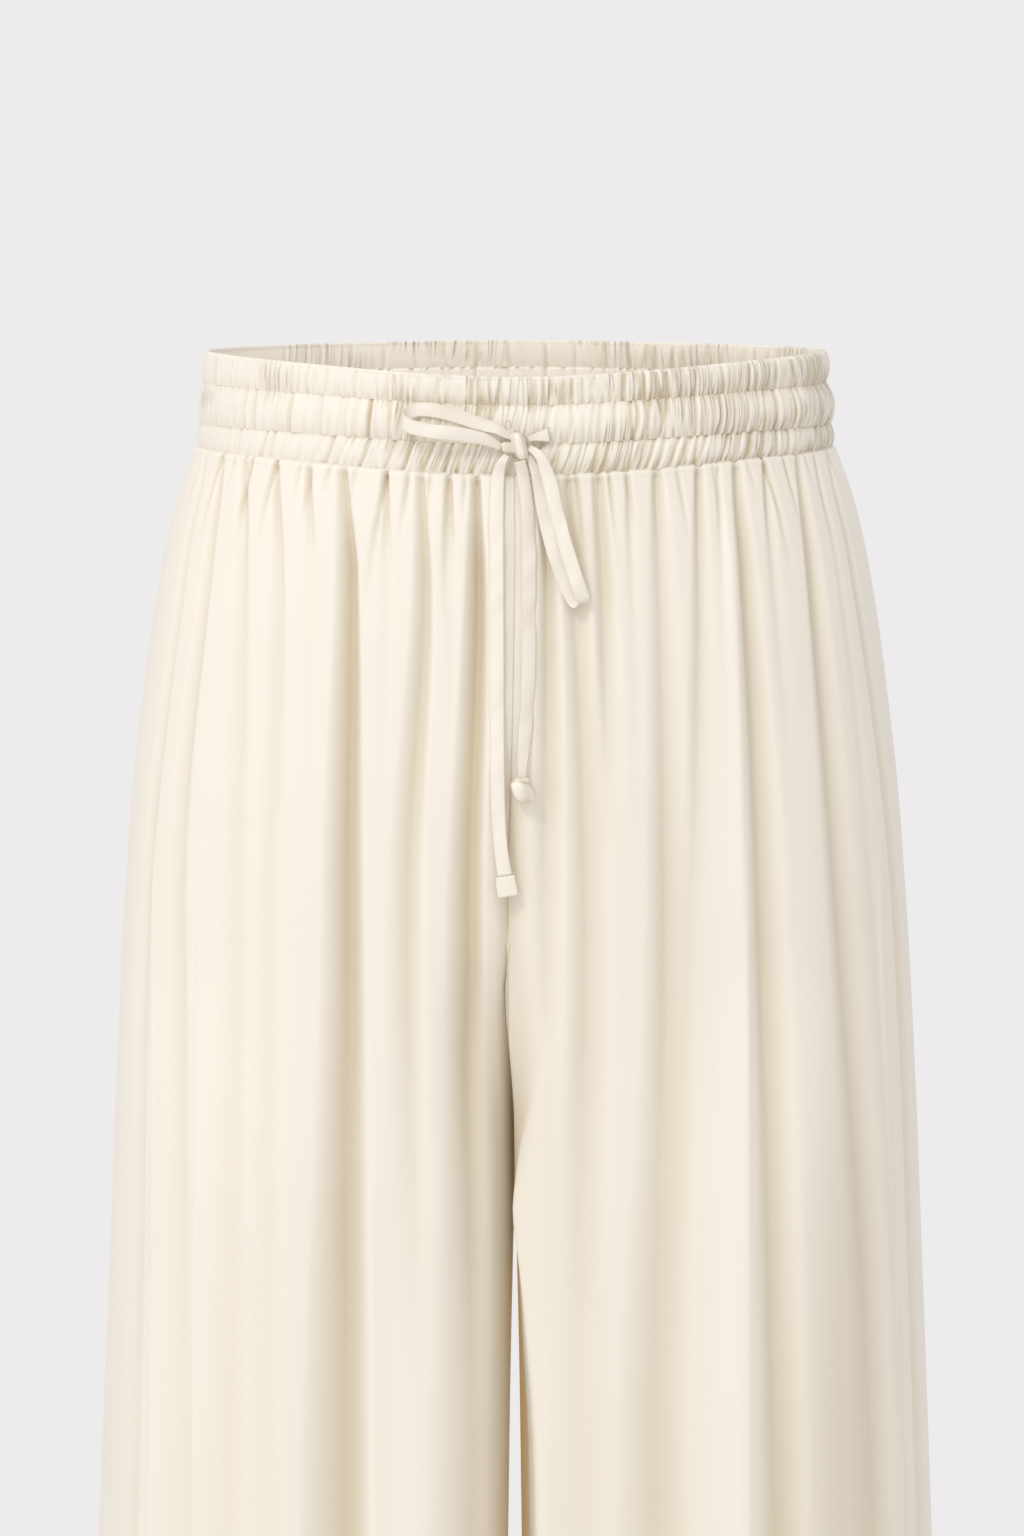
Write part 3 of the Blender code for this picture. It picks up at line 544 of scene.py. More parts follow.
# Knots, in millimetres, much as in the CAD: the middle's place as for the tape, then half sizes
KNOTS = {
    "columns": ("across", "below_front_rim", "out", "half_width", "half_height", "half_depth"),
    "wrap": (1.9, 30.6, 4.9, 3.2, 6.2, 3.3),
    "lobe": (-3.0, 31.2, 4.1, 3.0, 2.7, 2.5),
    "at_end": (3.2, 185.0, 5.0, 4.7, 4.9, 3.7),
    "collar": (3.1, 180.0, 5.0, 3.3, 1.4, 2.7),
}
KNOT_ROUNDING = 0.75
KNOT_RINGS, KNOT_SPOKES = 40, 64
KNOT_FOLD = 0.045


def knot_lump(knot, lean, folds):
    """Points, faces, cloth places and painted shade of one pulled-tight turn of tape, with its folds
    along it.
    """
    across, below_front_rim, out, half_width, half_height, half_depth = (v / 1000 for v in KNOTS[knot])
    polar = np.linspace(0, math.pi, KNOT_RINGS)[:, None]
    turn = np.linspace(0, 2 * math.pi, KNOT_SPOKES, endpoint=False)[None]
    ball = np.stack(
        [np.sin(polar) * np.cos(turn), np.sin(polar) * np.sin(turn), np.cos(polar) * np.ones_like(turn)],
        axis=-1,
    )
    squared = np.sign(ball) * np.abs(ball) ** KNOT_ROUNDING
    # The folds of the tape run from top to bottom, leaning a little
    fold = np.cos(folds * turn + lean * 3 * np.cos(polar))
    squared = squared * (1 + KNOT_FOLD * fold * np.sin(polar))[..., None]
    shape = squared * [half_width, half_depth, half_height]
    shape[..., 0] += lean * shape[..., 2]
    y = -front_cloth(np.array([across]), np.array([below_front_rim]))[0] - out
    shape = shape.reshape(-1, 3) + [across, y, RIM_Z - FRONT_DIP - below_front_rim]
    around, down = turn[0] * half_width, -polar[:, 0] * half_height
    places = np.stack([np.tile(around, KNOT_RINGS), np.repeat(down, KNOT_SPOKES)], axis=1)
    faces = turned(ring_faces(KNOT_RINGS, KNOT_SPOKES))
    # Painted shade: a little all over, and darker where the tape dips in between its folds
    return shape, faces, places, np.clip(0.25 - 0.35 * fold, 0, 1).ravel()


def knot_piece(name, node, lumps):
    """A knot made of one or more turns of tape."""
    points, faces, places, folds = [], [], [], []
    for lump in lumps:
        some_points, some_faces, some_places, some_folds = knot_lump(*lump)
        faces += [tuple(i + len(points) for i in face) for face in some_faces]
        points += some_points.tolist()
        places += some_places.tolist()
        folds += some_folds.tolist()
    return new_piece(name, points, faces, places, folds, tape_satin, "satin_tape", node)


# Each turn of tape in a knot: its row, how far it leans and how many folds it has
knot_piece("bow_knot_tape", "drawstring_knot", [("wrap", -0.26, 4), ("lobe", -0.15, 2)])
end_knot = knot_piece(
    "end_knot_tape", "drawstring_end_knot", [("at_end", -0.42, 3), ("collar", 0.12, 2)]
)


# Waistband: one strip of satin folded over three rows of elastic. The stitching between the rows
# gathers it into sharp creases, soft ripples and, next to the stitches, very fine gathers.
FRONT_COLUMNS, BACK_COLUMNS = 1000, 560
CASINGS = {
    "columns": ("top", "bottom", "top_at_sides", "bottom_at_sides", "puff", "lean", "tilt"),
    "rows": (
        (0.0000, 0.0126, 0.0000, 0.0142, 0.0014, 0.006, 0.0014),
        (0.0126, 0.0300, 0.0142, 0.0330, 0.0028, 0.014, -0.0010),
        (0.0300, 0.0447, 0.0330, 0.0447, 0.0016, 0.040, 0.0),
    ),
}
OUTSIDE_LEVELS, INSIDE_LEVELS = 12, 8
BAND_BASE = -0.0004
LEANING = 0.006
# Painted shade is full in a crease this deep
FULL_CREASE = 0.0017
BAND_INSIDE = 0.0028
# The creases on the inside are this share as deep as on the outside
INSIDE_SHARE = 0.4
OUTSIDE_SEED, INSIDE_SEED = 3, 11
# The waist's mean radius turns angles into lengths
WAIST_RADIUS = 0.125
PLACED_REACH = 0.0010
# A crease is worked out no further than this angle to each side
CREASE_WITHIN = 0.08
# The creases are deepest here, at the wearer's left in front
DEEPEST_AT = math.radians(330)
# Creases that are placed at random: how many, how deep, how far to each side and how uneven
CREASES = {
    "columns": ("number", "deep", "reach", "spread"),
    "sharp": (34, 0.0010, 0.0011, 0.9),
    "ripples": (190, 0.00055, 0.0017, 0.9),
    "fine": (380, 0.00065, 0.0009, 0.7),
}
# Sharp creases as in the photograph: their distance from the middle, in millimetres, their depth and
# how far their upper end leans to the wearer's left. The last row is on the inside of the back.
PLACED = (
    (
        (-137, 0.5, 0), (-98, 0.4, 0), (-54, 0.8, -1), (-51, 0.7, 1), (-19.4, 1.4, 0), (9.5, 0.9, 0),
        (13.5, 0.8, 0), (26, 1.2, 0), (31, 0.7, 0), (65, 1.3, -3), (69, 0.9, -2), (81, 1.0, 0),
        (109, 0.9, -1), (127, 1.0, -3),
    ),
    (
        (-117, 0.6, 0), (-100.5, 1.0, 1), (-65, 1.5, 1), (-56, 0.8, 0), (-33, 0.6, 0), (44.6, 0.8, 1),
        (52.3, 1.2, 0), (60, 0.6, 1), (67.6, 1.1, 2), (81, 0.9, 1), (92, 0.8, 2), (104, 0.7, 2),
        (117, 1.0, 1), (128, 0.8, 0),
    ),
    (
        (-108, 0.5, 2), (-82, 0.7, 4), (-66.7, 1.2, 5), (-55.4, 0.9, 5), (-47.3, 1.5, 5), (-38, 0.8, 4),
        (-29.3, 1.5, 4), (-23.9, 1.1, 4), (-17.6, 1.0, 3), (36, 1.1, 4), (40.1, 1.2, 4), (46, 0.8, 4),
        (60, 1.2, 5), (65, 0.8, 5), (71, 1.1, 5), (77, 0.8, 5), (83.4, 1.1, 5), (93.3, 1.2, 5),
        (99, 0.7, 5), (104, 1.1, 4), (110, 0.9, 3), (122, 0.7, 1),
    ),
    (
        (-110, 0.8, 0), (-93, 0.8, 0), (-78.4, 1.4, 0), (-63, 1.1, -1), (-48, 0.7, -2), (-33, 0.8, -2),
        (-18.5, 1.4, 0), (-2.2, 1.2, -1), (15.3, 1.3, -1), (28.8, 1.0, 0), (43.3, 1.1, -1), (55, 1.0, -1),
        (67.1, 1.4, 0), (75.7, 1.4, 0), (88, 0.7, 1), (99.6, 1.0, 1), (110, 0.8, 1), (121, 0.7, 1),
    ),
)


def band_loop(level, angle):
    """The waist ellipse at a level, with its outward normals, before it is gathered."""
    grow = BAND_SPREAD * level / BAND_HEIGHT
    half, depth = BAND_RIM_HALF_WIDTH + grow, BAND_RIM_DEPTH + grow
    c, s = np.cos(angle), np.sin(angle)
    x = half * np.sign(c) * np.abs(c) ** (2 / WAIST_POWER)
    y = depth * np.sign(s) * np.abs(s) ** (2 / WAIST_POWER)
    nx = np.sign(c) * np.abs(x / half) ** (WAIST_POWER - 1) / half
    ny = np.sign(s) * np.abs(y / depth) ** (WAIST_POWER - 1) / depth
    size = np.hypot(nx, ny)
    return x, y, nx / size, ny / size


def waist_dip(x, y):
    """How far the waist hangs below its height at the side seams."""
    angle = np.arctan2(y, x)
    return FRONT_DIP * np.maximum(-np.sin(angle), 0) ** 2 + BACK_DIP * np.maximum(np.sin(angle), 0) ** 2


def lapped(gap, reach):
    """A sharp crease: steep on one side, easy on the other, with the cloth standing up beside it."""
    groove = bell(gap / np.where(gap > 0, 0.55 * reach, 1.1 * reach))
    return groove - 0.45 * bell((gap - 1.6 * reach) / reach)


def creases(chance, kind, angle, share, lean):
    """How deep the creases of a kind are, at these angles and shares of a casing's height."""
    number, deep, reach, spread = CREASES[kind]
    step = 2 * math.pi / number
    places = step * (np.arange(number) + spread * chance.uniform(-0.5, 0.5, number))
    depths = deep * chance.uniform(0.25, 1.0, number)
    uneven_leans = chance.uniform(0.3, 1.3, number)
    way = np.where(places > math.pi, -1, chance.choice([-1, 1]))
    leans = lean * uneven_leans * way
    bends = chance.uniform(-0.010, 0.010, number)
    starts = chance.uniform(-0.5, 0.45, number)
    ends = chance.uniform(0.70, 1.6, number)
    total = np.zeros((len(share), len(angle)))
    for place, depth, lean_here, bend, begin, end in zip(places, depths, leans, bends, starts, ends):
        middle = place + lean_here * (share - 0.5) + bend * np.sin(math.pi * share)
        near_here = np.abs((angle - place + math.pi) % (2 * math.pi) - math.pi) < CREASE_WITHIN
        gap = (angle[None, near_here] - middle[:, None] + math.pi) % (2 * math.pi) - math.pi
        if kind == "sharp":
            groove = lapped(gap * WAIST_RADIUS, reach)
            along = smooth_step((share + 0.3) / 0.3) * smooth_step((1.3 - share) / 0.3)
        else:
            near = np.clip(1 - np.abs(gap) * WAIST_RADIUS / reach, 0, 1)
            groove = near * near * (3 - 2 * near)
            if kind == "ripples":
                along = smooth_step((share - begin) / 0.3) * smooth_step((end - share) / 0.3)
            else:
                low, high = smooth_step((share - 0.62) / 0.3), smooth_step((0.22 - share) / 0.2)
                along = np.maximum(low, 0.6 * high)
        total[:, near_here] += depth * groove * along[:, None]
    return total


def placed_creases(row, angle, share, inside):
    """How deep the creases are that the photograph shows."""
    x = band_loop(0.0, angle)[0] * 1000
    facing = np.sin(angle) > 0 if inside else np.sin(angle) < 0
    total = np.zeros((len(share), len(angle)))
    for number, (place, depth, lean) in enumerate(PLACED[row]):
        bend = 0.5 * math.sin(7 * number)
        middle = place + lean * (0.5 - share) + bend * np.sin(math.pi * share)
        groove = lapped((x[None] - middle[:, None]) / 1000, PLACED_REACH)
        total += depth / 1000 * groove * facing[None]
    return total


def casing_skin(seed, row, angle, count, inside):
    """A casing's cloth: its levels, how far each point stands out from the stitched lines, and its
    painted shade.
    """
    top, bottom, top_at_sides, bottom_at_sides, puff, lean, tilt = CASINGS["rows"][row]
    chance = np.random.default_rng(seed)
    share = 0.5 - 0.5 * np.cos(np.linspace(0, math.pi, count))
    body = 4 * share * (1 - share)
    # The wearer's right side of the band is pulled smoother and flatter than the left front
    strength = 0.85 + 0.45 * np.cos(angle - DEEPEST_AT)
    puff = puff * (0.72 + 0.30 * np.cos(angle))
    # On the wearer's left the top casing tips over a little, and the middle one stands out below it
    tilt = tilt * (0.5 + 0.5 * np.cos(angle))
    gathers = sum(creases(chance, kind, angle, share, lean) for kind in ("sharp", "ripples", "fine"))
    gathers = gathers * strength[None] + placed_creases(3 if inside else row, angle, share, inside)
    waves = 1 + 0.12 * np.sin(17 * angle + seed) + 0.10 * np.sin(41 * angle + 2 * seed)
    puffed = (puff * waves)[None] * body[:, None] + tilt[None] * (0.5 - share[:, None])
    out = BAND_BASE + puffed - gathers
    # Painted shade: darker in the creases and next to the stitched lines
    painted_shade = gathers / FULL_CREASE + 0.2 * (1 - body[:, None]) ** 3
    at_sides = np.cos(angle) ** 2
    top = top + (top_at_sides - top) * at_sides
    bottom = bottom + (bottom_at_sides - bottom) * at_sides
    return top[None] + (bottom - top)[None] * share[:, None], out, painted_shade


def waistband_piece(material):
    """The outside of the three casings, the rolled rim, and the gathered inside."""
    front = np.linspace(math.pi, 2 * math.pi, FRONT_COLUMNS, endpoint=False)
    angle = np.concatenate([np.linspace(0, math.pi, BACK_COLUMNS, endpoint=False), front])
    columns = len(angle)
    level, out, fold = (np.concatenate(part) for part in zip(*(
        casing_skin(row + OUTSIDE_SEED, row, angle, OUTSIDE_LEVELS, False) for row in range(3)
    )))
    inner_level, inner_out, inner_fold = (np.concatenate(part) for part in zip(*(
        casing_skin(row + INSIDE_SEED, row, angle, INSIDE_LEVELS, True) for row in range(3)
    )))
    inner_out = -BAND_INSIDE - INSIDE_SHARE * (inner_out - BAND_BASE)
    # The rim is rolled: it comes in and rounds off over the top
    roll_level = np.array([0.0010, 0.0002, -0.0003, -0.0002, 0.0008])
    roll_share = np.array([0.0, 0.12, 0.42, 0.80, 1.0])[:, None]
    roll_out = out[:1] * (1 - roll_share) + inner_out[:1] * roll_share
    roll_level = np.repeat(roll_level[:, None], columns, 1)
    level = np.concatenate([level[::-1][:-2], roll_level, inner_level[2:]])
    out = np.concatenate([out[::-1][:-2], roll_out, inner_out[2:]])
    fold = np.concatenate([fold[::-1][:-2], np.zeros_like(roll_out), inner_fold[2:]])
    # Painted light: the cloth glows a little in its creases, and more on the inside, most on the wearer's
    # right, which the lamp leaves in shade
    painted_glow = 0.15 * fold
    painted_glow[len(fold) - len(inner_fold) + 2:] = 0.72 - 0.28 * np.cos(angle)
    x, y, nx, ny = band_loop(np.maximum(level, 0.0), np.repeat(angle[None], len(level), 0))
    points = np.stack([x + out * nx, y + out * ny, RIM_Z - level - waist_dip(x, y)], axis=-1)
    run = np.cumsum(np.abs(np.diff(level, axis=0, prepend=level[:1])), axis=0)
    # The fine creases lean with the casings that they are on
    leaning = LEANING * np.interp(level, (0.0, 0.0142, 0.0300, 0.0447), (0.0, 0.0, 0.3, 1.0))
    places = np.stack([np.repeat(angle[None] * WAIST_RADIUS, len(level), 0) + leaning, run], axis=-1)
    stitch_lines = points[2 * OUTSIDE_LEVELS], points[OUTSIDE_LEVELS]
    band = new_piece(
        "waistband_cloth",
        points.reshape(-1, 3),
        ring_faces(len(level), columns, closed=True),
        places.reshape(-1, 2),
        fold.ravel(),
        material,
        "satin_waistband",
        "waistband",
        painted_glows=painted_glow.ravel(),
    )
    return band, stitch_lines, points.reshape(-1, 3)


STITCH_LENGTH, STITCH_STEP, THREAD = 0.0018, 0.0027, 0.0003
STITCH_SPOKES = 6
# Rings of corners along a stitch: how far along it, how thick and how high over the cloth
STITCH_RINGS = ((0.0, 0.4, 0.0), (0.15, 1.0, 0.9), (0.85, 1.0, 0.9), (1.0, 0.4, 0.0))


def stitched(name, starts, ends, outwards, material, slot):
    """One piece of many stitches: each a short thread, rounded, lying on the cloth."""
    turn = np.linspace(0, 2 * math.pi, STITCH_SPOKES, endpoint=False)
    way = unit(ends - starts)
    side = unit(np.cross(way, outwards))
    up = np.cross(side, way)
    ring = (
        side[:, None, None] * (np.cos(turn) * THREAD / 2)[None, None, :, None]
        + up[:, None, None] * (np.sin(turn) * THREAD / 2)[None, None, :, None]
    )
    shares, thick, high = np.array(STITCH_RINGS).T
    line = starts[:, None] + (ends - starts)[:, None] * shares[None, :, None]
    line = line + up[:, None] * (high * THREAD / 2)[None, :, None]
    points = (line[:, :, None] + ring * thick[None, :, None, None]).reshape(-1, 3)
    faces = []
    a_stitch = len(STITCH_RINGS) * STITCH_SPOKES
    for first in range(0, len(points), a_stitch):
        faces.append(tuple(range(first, first + STITCH_SPOKES)))
        faces.append(tuple(range(first + a_stitch - STITCH_SPOKES, first + a_stitch))[::-1])
        faces += turned(ring_faces(len(STITCH_RINGS), STITCH_SPOKES, first))
    return new_piece(name, points, faces, points[:, [0, 2]], np.zeros(len(points)), material, slot)


def row_of_stitches(line, closed):
    """Where the stitches of a row along this line start and end."""
    if closed:
        line = np.concatenate([line, line[:1]])
    along = lengths_along(line)
    at = np.arange(STITCH_STEP / 2, along[-1] - STITCH_STEP / 2, STITCH_STEP)
    start, end = (
        at_lengths(line, along, at + half) for half in (-STITCH_LENGTH / 2, STITCH_LENGTH / 2)
    )
    return start, end, unit(start * [1, 1, 0])


BUTTONHOLES = {"columns": ("across", "below_front_rim"), "rows": ((-3.3, 21.6), (15.4, 25.6))}
HOLE_HALF_WIDTH, HOLE_HALF_HEIGHT, HOLE_STITCHES = 0.0007, 0.0026, 36
HOLE_STITCH = 0.0008


def buttonhole(row, band_points):
    """Where the stitches round a buttonhole of the middle casing start and end."""
    across, below_front_rim = (v / 1000 for v in row)
    turn = np.linspace(0, 2 * math.pi, HOLE_STITCHES, endpoint=False)
    front = band_points[band_points[:, 1] < -BAND_RIM_DEPTH / 2]
    places = []
    for grow in (0.0, HOLE_STITCH):
        x = across + (HOLE_HALF_WIDTH + grow) * np.cos(turn)
        z = RIM_Z - FRONT_DIP - below_front_rim + (HOLE_HALF_HEIGHT + grow) * np.sin(turn)
        away = (front[None, :, 0] - x[:, None]) ** 2 + (front[None, :, 2] - z[:, None]) ** 2
        y = front[away.argsort(1)[:, :4], 1].min(axis=1)
        places.append(np.stack([x, y, z], axis=1))
    return places[0], places[1], np.tile([0.0, -1.0, 0.0], (HOLE_STITCHES, 1))


# The pale and deep tones of each satin, then the colour of its painted glow
band_satin = satin("band_satin", (0.90, 0.85, 0.765), (0.86, 0.80, 0.70), (0.22, 0.205, 0.18), 0.0006)
thread = satin("thread", (0.87, 0.82, 0.73), (0.82, 0.76, 0.66), (0, 0, 0))
waistband, casing_lines, band_points = waistband_piece(band_satin)
casing_rows = [row_of_stitches(line, True) for line in casing_lines]
casing_rows += [buttonhole(row, band_points) for row in BUTTONHOLES["rows"]]
casing_stitches = stitched(
    "casing_stitches", *(np.concatenate(part) for part in zip(*casing_rows)), thread, "satin_waistband"
)


# Legs: four panels of the same satin, gathered into the waistband and hanging in long soft folds to
# the hems. They meet at the side seams, the curved crotch seam and the inseams.
CROTCH_CURVE_START = 0.26
RISE = 0.335
LEG_FORMED = 0.39
KNEE = 0.500
OUTSEAM = 1.045
LEG_OUTER_POWER = 2.2
# The wearer's left leg has the sharper front inner edge
LEG_INNER_POWER, SHARP_INNER_POWER = 6.5, 40.0
CORNER_SHARE = 0.80
SECTION_SAMPLES = 400
FRONT_PANEL_COLUMNS, BACK_PANEL_COLUMNS = 280, 200
INNER_COLUMNS = 22
WALL = 0.0011

# The folds as in the CAD: a row for each, its distance from the middle at the seam, hip, thigh and
# knee, how deep it is there, and half the trough's width at the hip, in millimetres. A wide, slow
# swell or hollow is a row too, and a swell's depth is less than nothing. The levels are the seam, a
# little below it, hip, thigh, knee and hem.
FOLD_LEVELS = (BAND_HEIGHT, 0.056, 0.092, 0.255, KNEE, OUTSEAM)
FOLD_SPREAD = (0.30, 0.36, 0.58, 1.02, 1.28, 1.50)
HEM_FULLNESS = 1.5
FOLDS = {
    "columns": (
        "seam_x", "hip_x", "thigh_x", "knee_x",
        "seam_deep", "hip_deep", "thigh_deep", "knee_deep", "reach",
    ),
    "front_right": (
        (18, 18, 22, 21, 5.6, 8.0, 6.8, 1.6, 11),
        (30, 30, 34, 32, 3.5, 0.8, 0.0, 0.0, 7),
        (43, 42, 50, 46, 3.8, 5.0, 3.8, 0.0, 10),
        (59, 59, 63, 60, 3.5, 0.8, 0.0, 0.5, 8),
        (78, 76, 78, 78, 4.2, 7.0, 7.8, 7.2, 12),
        (94, 93, 96, 96, 3.2, 0.6, 0.0, 0.0, 8),
        (109, 108, 113, 115, 3.4, 2.2, 1.2, 0.8, 9),
        (124, 125, 129, 133, 3.2, 2.0, 1.4, 1.6, 11),
        (134, 141, 156, 155, 3.6, 3.0, 2.0, 1.4, 9),
        (142, 152, 171, 178, 3.0, 2.4, 1.6, 1.2, 8),
    ),
    "front_left": (
        (11, 13, 12, 10, 3.2, 4.8, 2.4, 0.0, 9),
        (23, 25, 30, 26, 3.8, 3.6, 3.6, 1.2, 12),
        (37, 38, 40, 40, 3.8, 3.8, 0.0, 0.0, 10),
        (50, 51, 54, 50, 2.0, 0.8, 0.0, 0.0, 7),
        (63, 64, 66, 61, 3.8, 2.6, 4.0, 3.8, 13),
        (82, 82, 78, 70, 4.0, 3.0, 1.6, 0.6, 10),
        (91, 92, 95, 95, 1.6, 0.6, 0.0, 0.0, 6),
        (99, 102, 109, 116, 4.2, 5.4, 6.0, 7.0, 12),
        (112, 115, 127, 138, 3.2, 1.2, 0.0, 0.0, 8),
        (128, 133, 146, 164, 3.8, 4.6, 3.4, 3.0, 12),
        (136, 145, 161, 175, 3.0, 0.8, 0.6, 0.8, 7),
        (142, 152, 172, 183, 3.0, 3.2, 2.6, 2.4, 8),
        (140, 142, 146, 150, 0.0, 0.0, 0.8, 3.4, 27),
        (93, 96, 101, 106, 0.0, -2.0, -2.6, -2.2, 18),
    ),
    "back": (
        (9, 10, 12, 12, 3.2, 3.0, 1.4, 0.0, 8),
        (24, 25, 29, 28, 3.8, 6.4, 5.6, 2.4, 12),
        (39, 40, 45, 44, 3.6, 1.0, 0.2, 0.0, 8),
        (54, 56, 61, 60, 4.0, 3.6, 4.8, 6.4, 14),
        (70, 72, 78, 80, 3.4, 0.8, 0.2, 0.0, 8),
        (86, 89, 93, 96, 4.0, 6.4, 7.2, 7.6, 13),
        (103, 108, 115, 121, 3.4, 0.8, 0.2, 0.2, 8),
        (120, 125, 133, 141, 3.8, 3.0, 2.2, 3.2, 12),
        (133, 141, 154, 163, 3.4, 2.6, 1.6, 0.6, 9),
        (141, 151, 171, 181, 3.0, 3.2, 3.0, 3.2, 9),
    ),
}
# On the wearer's right back the folds lie a little elsewhere and some are deeper than others
RIGHT_BACK_SHIFT, RIGHT_BACK_UNEVEN = 0.004, 0.3
# At the second level a fold already lies this share of the way to its place at the third
FIRST_SHARE = 0.2
# Short gathers below the waist seam, as in the photograph and alike on the back: how far each lies
# from the middle, how deep it is at the seam and how far down it reaches, in millimetres
SMALL_GATHERS = {
    "columns": ("from_middle", "deep", "length"),
    "front_right": (
        (6, 1.2, 24), (22.5, 1.7, 18), (30.4, 2.6, 60), (37.9, 1.5, 22), (48.2, 2.2, 26),
        (57.7, 2.2, 56), (71.5, 1.3, 16), (83.4, 1.8, 14), (91.5, 1.2, 32), (97, 1.5, 16),
        (108.3, 2.6, 34), (119.5, 2.8, 36), (127.5, 1.2, 14), (134, 2.8, 30), (143, 1.8, 22),
    ),
    "front_left": (
        (5, 1.2, 20), (10.8, 1.8, 26), (27.5, 2.8, 34), (35.5, 2.0, 42), (42.5, 2.2, 28),
        (49.8, 1.2, 30), (73.4, 1.6, 30), (89.5, 1.2, 24), (105, 1.2, 14), (113, 2.4, 44),
        (122, 2.4, 28), (132, 1.3, 16), (143, 1.2, 20),
    ),
    "back": (
        (5, 1.3, 22), (17, 2.0, 40), (31, 1.8, 26), (36, 1.4, 18), (46, 2.4, 52), (62, 1.6, 22),
        (68, 2.0, 38), (78, 1.5, 18), (94, 2.2, 46), (99, 1.3, 16), (111, 2.0, 30), (127, 1.7, 26),
        (139, 1.5, 20),
    ),
}
SMALL_GATHER_REACH = 0.0024
SEAM_HALF_WIDTH = 0.148
# Thin pressed lines down the legs, in millimetres from the middle at the thigh, the knee and the hem
PRESSED_LINES = {
    "columns": ("thigh", "knee", "hem"),
    "front_right": ((143.5, 146.5, 156), (165, 167, 176)),
    "front_left": ((105, 106, 114), (167, 178, 190)),
    "back": ((92, 96, 104),),
}
PRESSED_HIGH, PRESSED_REACH, PRESSED_FROM = 0.0006, 0.0024, 0.16
# The crotch seam draws the cloth in: how far, at these distances below the rim, and how far this
# reaches to each side. Below it the wearer's right leg rolls in behind the other one.
DRAWN_IN = {
    "below_rim": (0.045, 0.17, 0.24, 0.30, 0.345, 0.40, 0.45, 1.045),
    "front_right": (0.0, 0.0, 0.0040, 0.0080, 0.0085, 0.0085, 0.0082, 0.0085),
    "front_left": (0.0, 0.0, 0.0040, 0.0080, 0.0085, 0.0030, 0.0012, 0.0010),
    "back": (0.0, 0.0, 0.0025, 0.0055, 0.0064, 0.0040, 0.0030, 0.0030),
}
DRAWN_REACH = {"front_right": 0.042, "front_left": 0.015, "back": 0.030}
ROLLED_IN = {
    "columns": ("below_rim", "deep", "reach"),
    "rows": (
        (0.260, 0.0000, 0.0080),
        (0.310, 0.0045, 0.0070),
        (0.385, 0.0060, 0.0030),
        (0.430, 0.0000, 0.0030),
        (1.045, 0.0000, 0.0030),
    ),
}
# The front seam hangs a little to the wearer's right of the middle, and takes the cloth beside it along
SEAM_LEAN = {
    "below_rim": (0.100, 0.170, 0.240, 0.300, 0.350, 0.400, 1.045),
    "lean": (0.0, 0.0012, 0.0034, 0.0034, 0.0018, 0.0, 0.0),
}
LEAN_REACH, LEAN_BEHIND = 0.014, (-0.11, -0.07)
# Below it the left leg's front edge laps over the right leg's, which lies behind
LEG_LAP = {
    "below_rim": (0.300, 0.350, 0.372, 0.384, 0.396, 0.430, 0.470, 1.045),
    "lap": (0.0, 0.0031, 0.0037, 0.0046, 0.0040, 0.0018, 0.0, 0.0),
}
LAP_REACH, LAP_BEHIND = 0.010, 0.004
# On the wearer's left leg the inner side of the front slants, so that the back shows past its edge
INNER_SLANT = {"below_rim": (0.39, 0.44, 0.50, 1.045), "slant": (0.0, 0.0022, 0.0050, 0.0080)}
FLAT_AT_SIDE = 0.012
FLAT_AT_MIDDLE = 0.008
RIDGE_SHARE = 0.35
# Each front fold is placed this far to the wearer's left of where its darkest line shows
SHADE_SHIFT = 0.0025
# Where the legs part, the folds move out with the inner edge, and less the further they are from it
MOVED_WITHIN = 0.020
SEAM_PINCH, PINCH_REACH = 0.0006, 0.0014
# The front seam lies in a groove, shallow behind the drawstring, that ends above where the legs part
MIDDLE_GROOVE, MIDDLE_GROOVE_REACH = 0.0020, 0.0040
GROOVE_SHOWS_BELOW, GROOVE_END = 0.16, 0.30
# Painted shade of the legs: full in a fold this deep, stronger at short gathers and where the crotch seam
# draws the cloth in
FULL_FOLD = 0.0080
SMALL_GATHER_SHADE = 2.0
# Painted shade of the hidden cloth inside the legs, where the most light gets in
INNER_PAINTED_SHADE = 0.4
# At the crotch less light gets in between the legs, so the hidden cloth there has only this share of its
# painted glow, and more painted shade
CROTCH_LIGHT = 0.4
DRAWN_SHADE = 0.35
HELD_BY_BAND = 0.003
HANGING_WAVE = 0.0004
HEM_LINE = OUTSEAM - 0.020
HEM_STEP = 0.0005
HEM_PUCKER, HEM_PUCKER_TURNS = 0.00022, 1400
# The panels run a little way up inside the waistband's lower edge
TUCKED_UP = 0.0018
TUCKED_IN = 0.0022
BACK_CLOTH_BESIDE = 0.7


def power_arc(half_width, depth, power, angle):
    """Points of a squared-off ellipse: x across, y outwards to the front or the back."""
    c, s = np.cos(angle), np.sin(angle)
    x = half_width * np.sign(c) * np.abs(c) ** (2 / power)
    return np.stack([x, depth * np.abs(s) ** (2 / power)], axis=1)


def evenly(points, count):
    """The same line with its points a constant distance apart."""
    along = lengths_along(points)
    return at_lengths(points, along, np.linspace(0, along[-1], count))


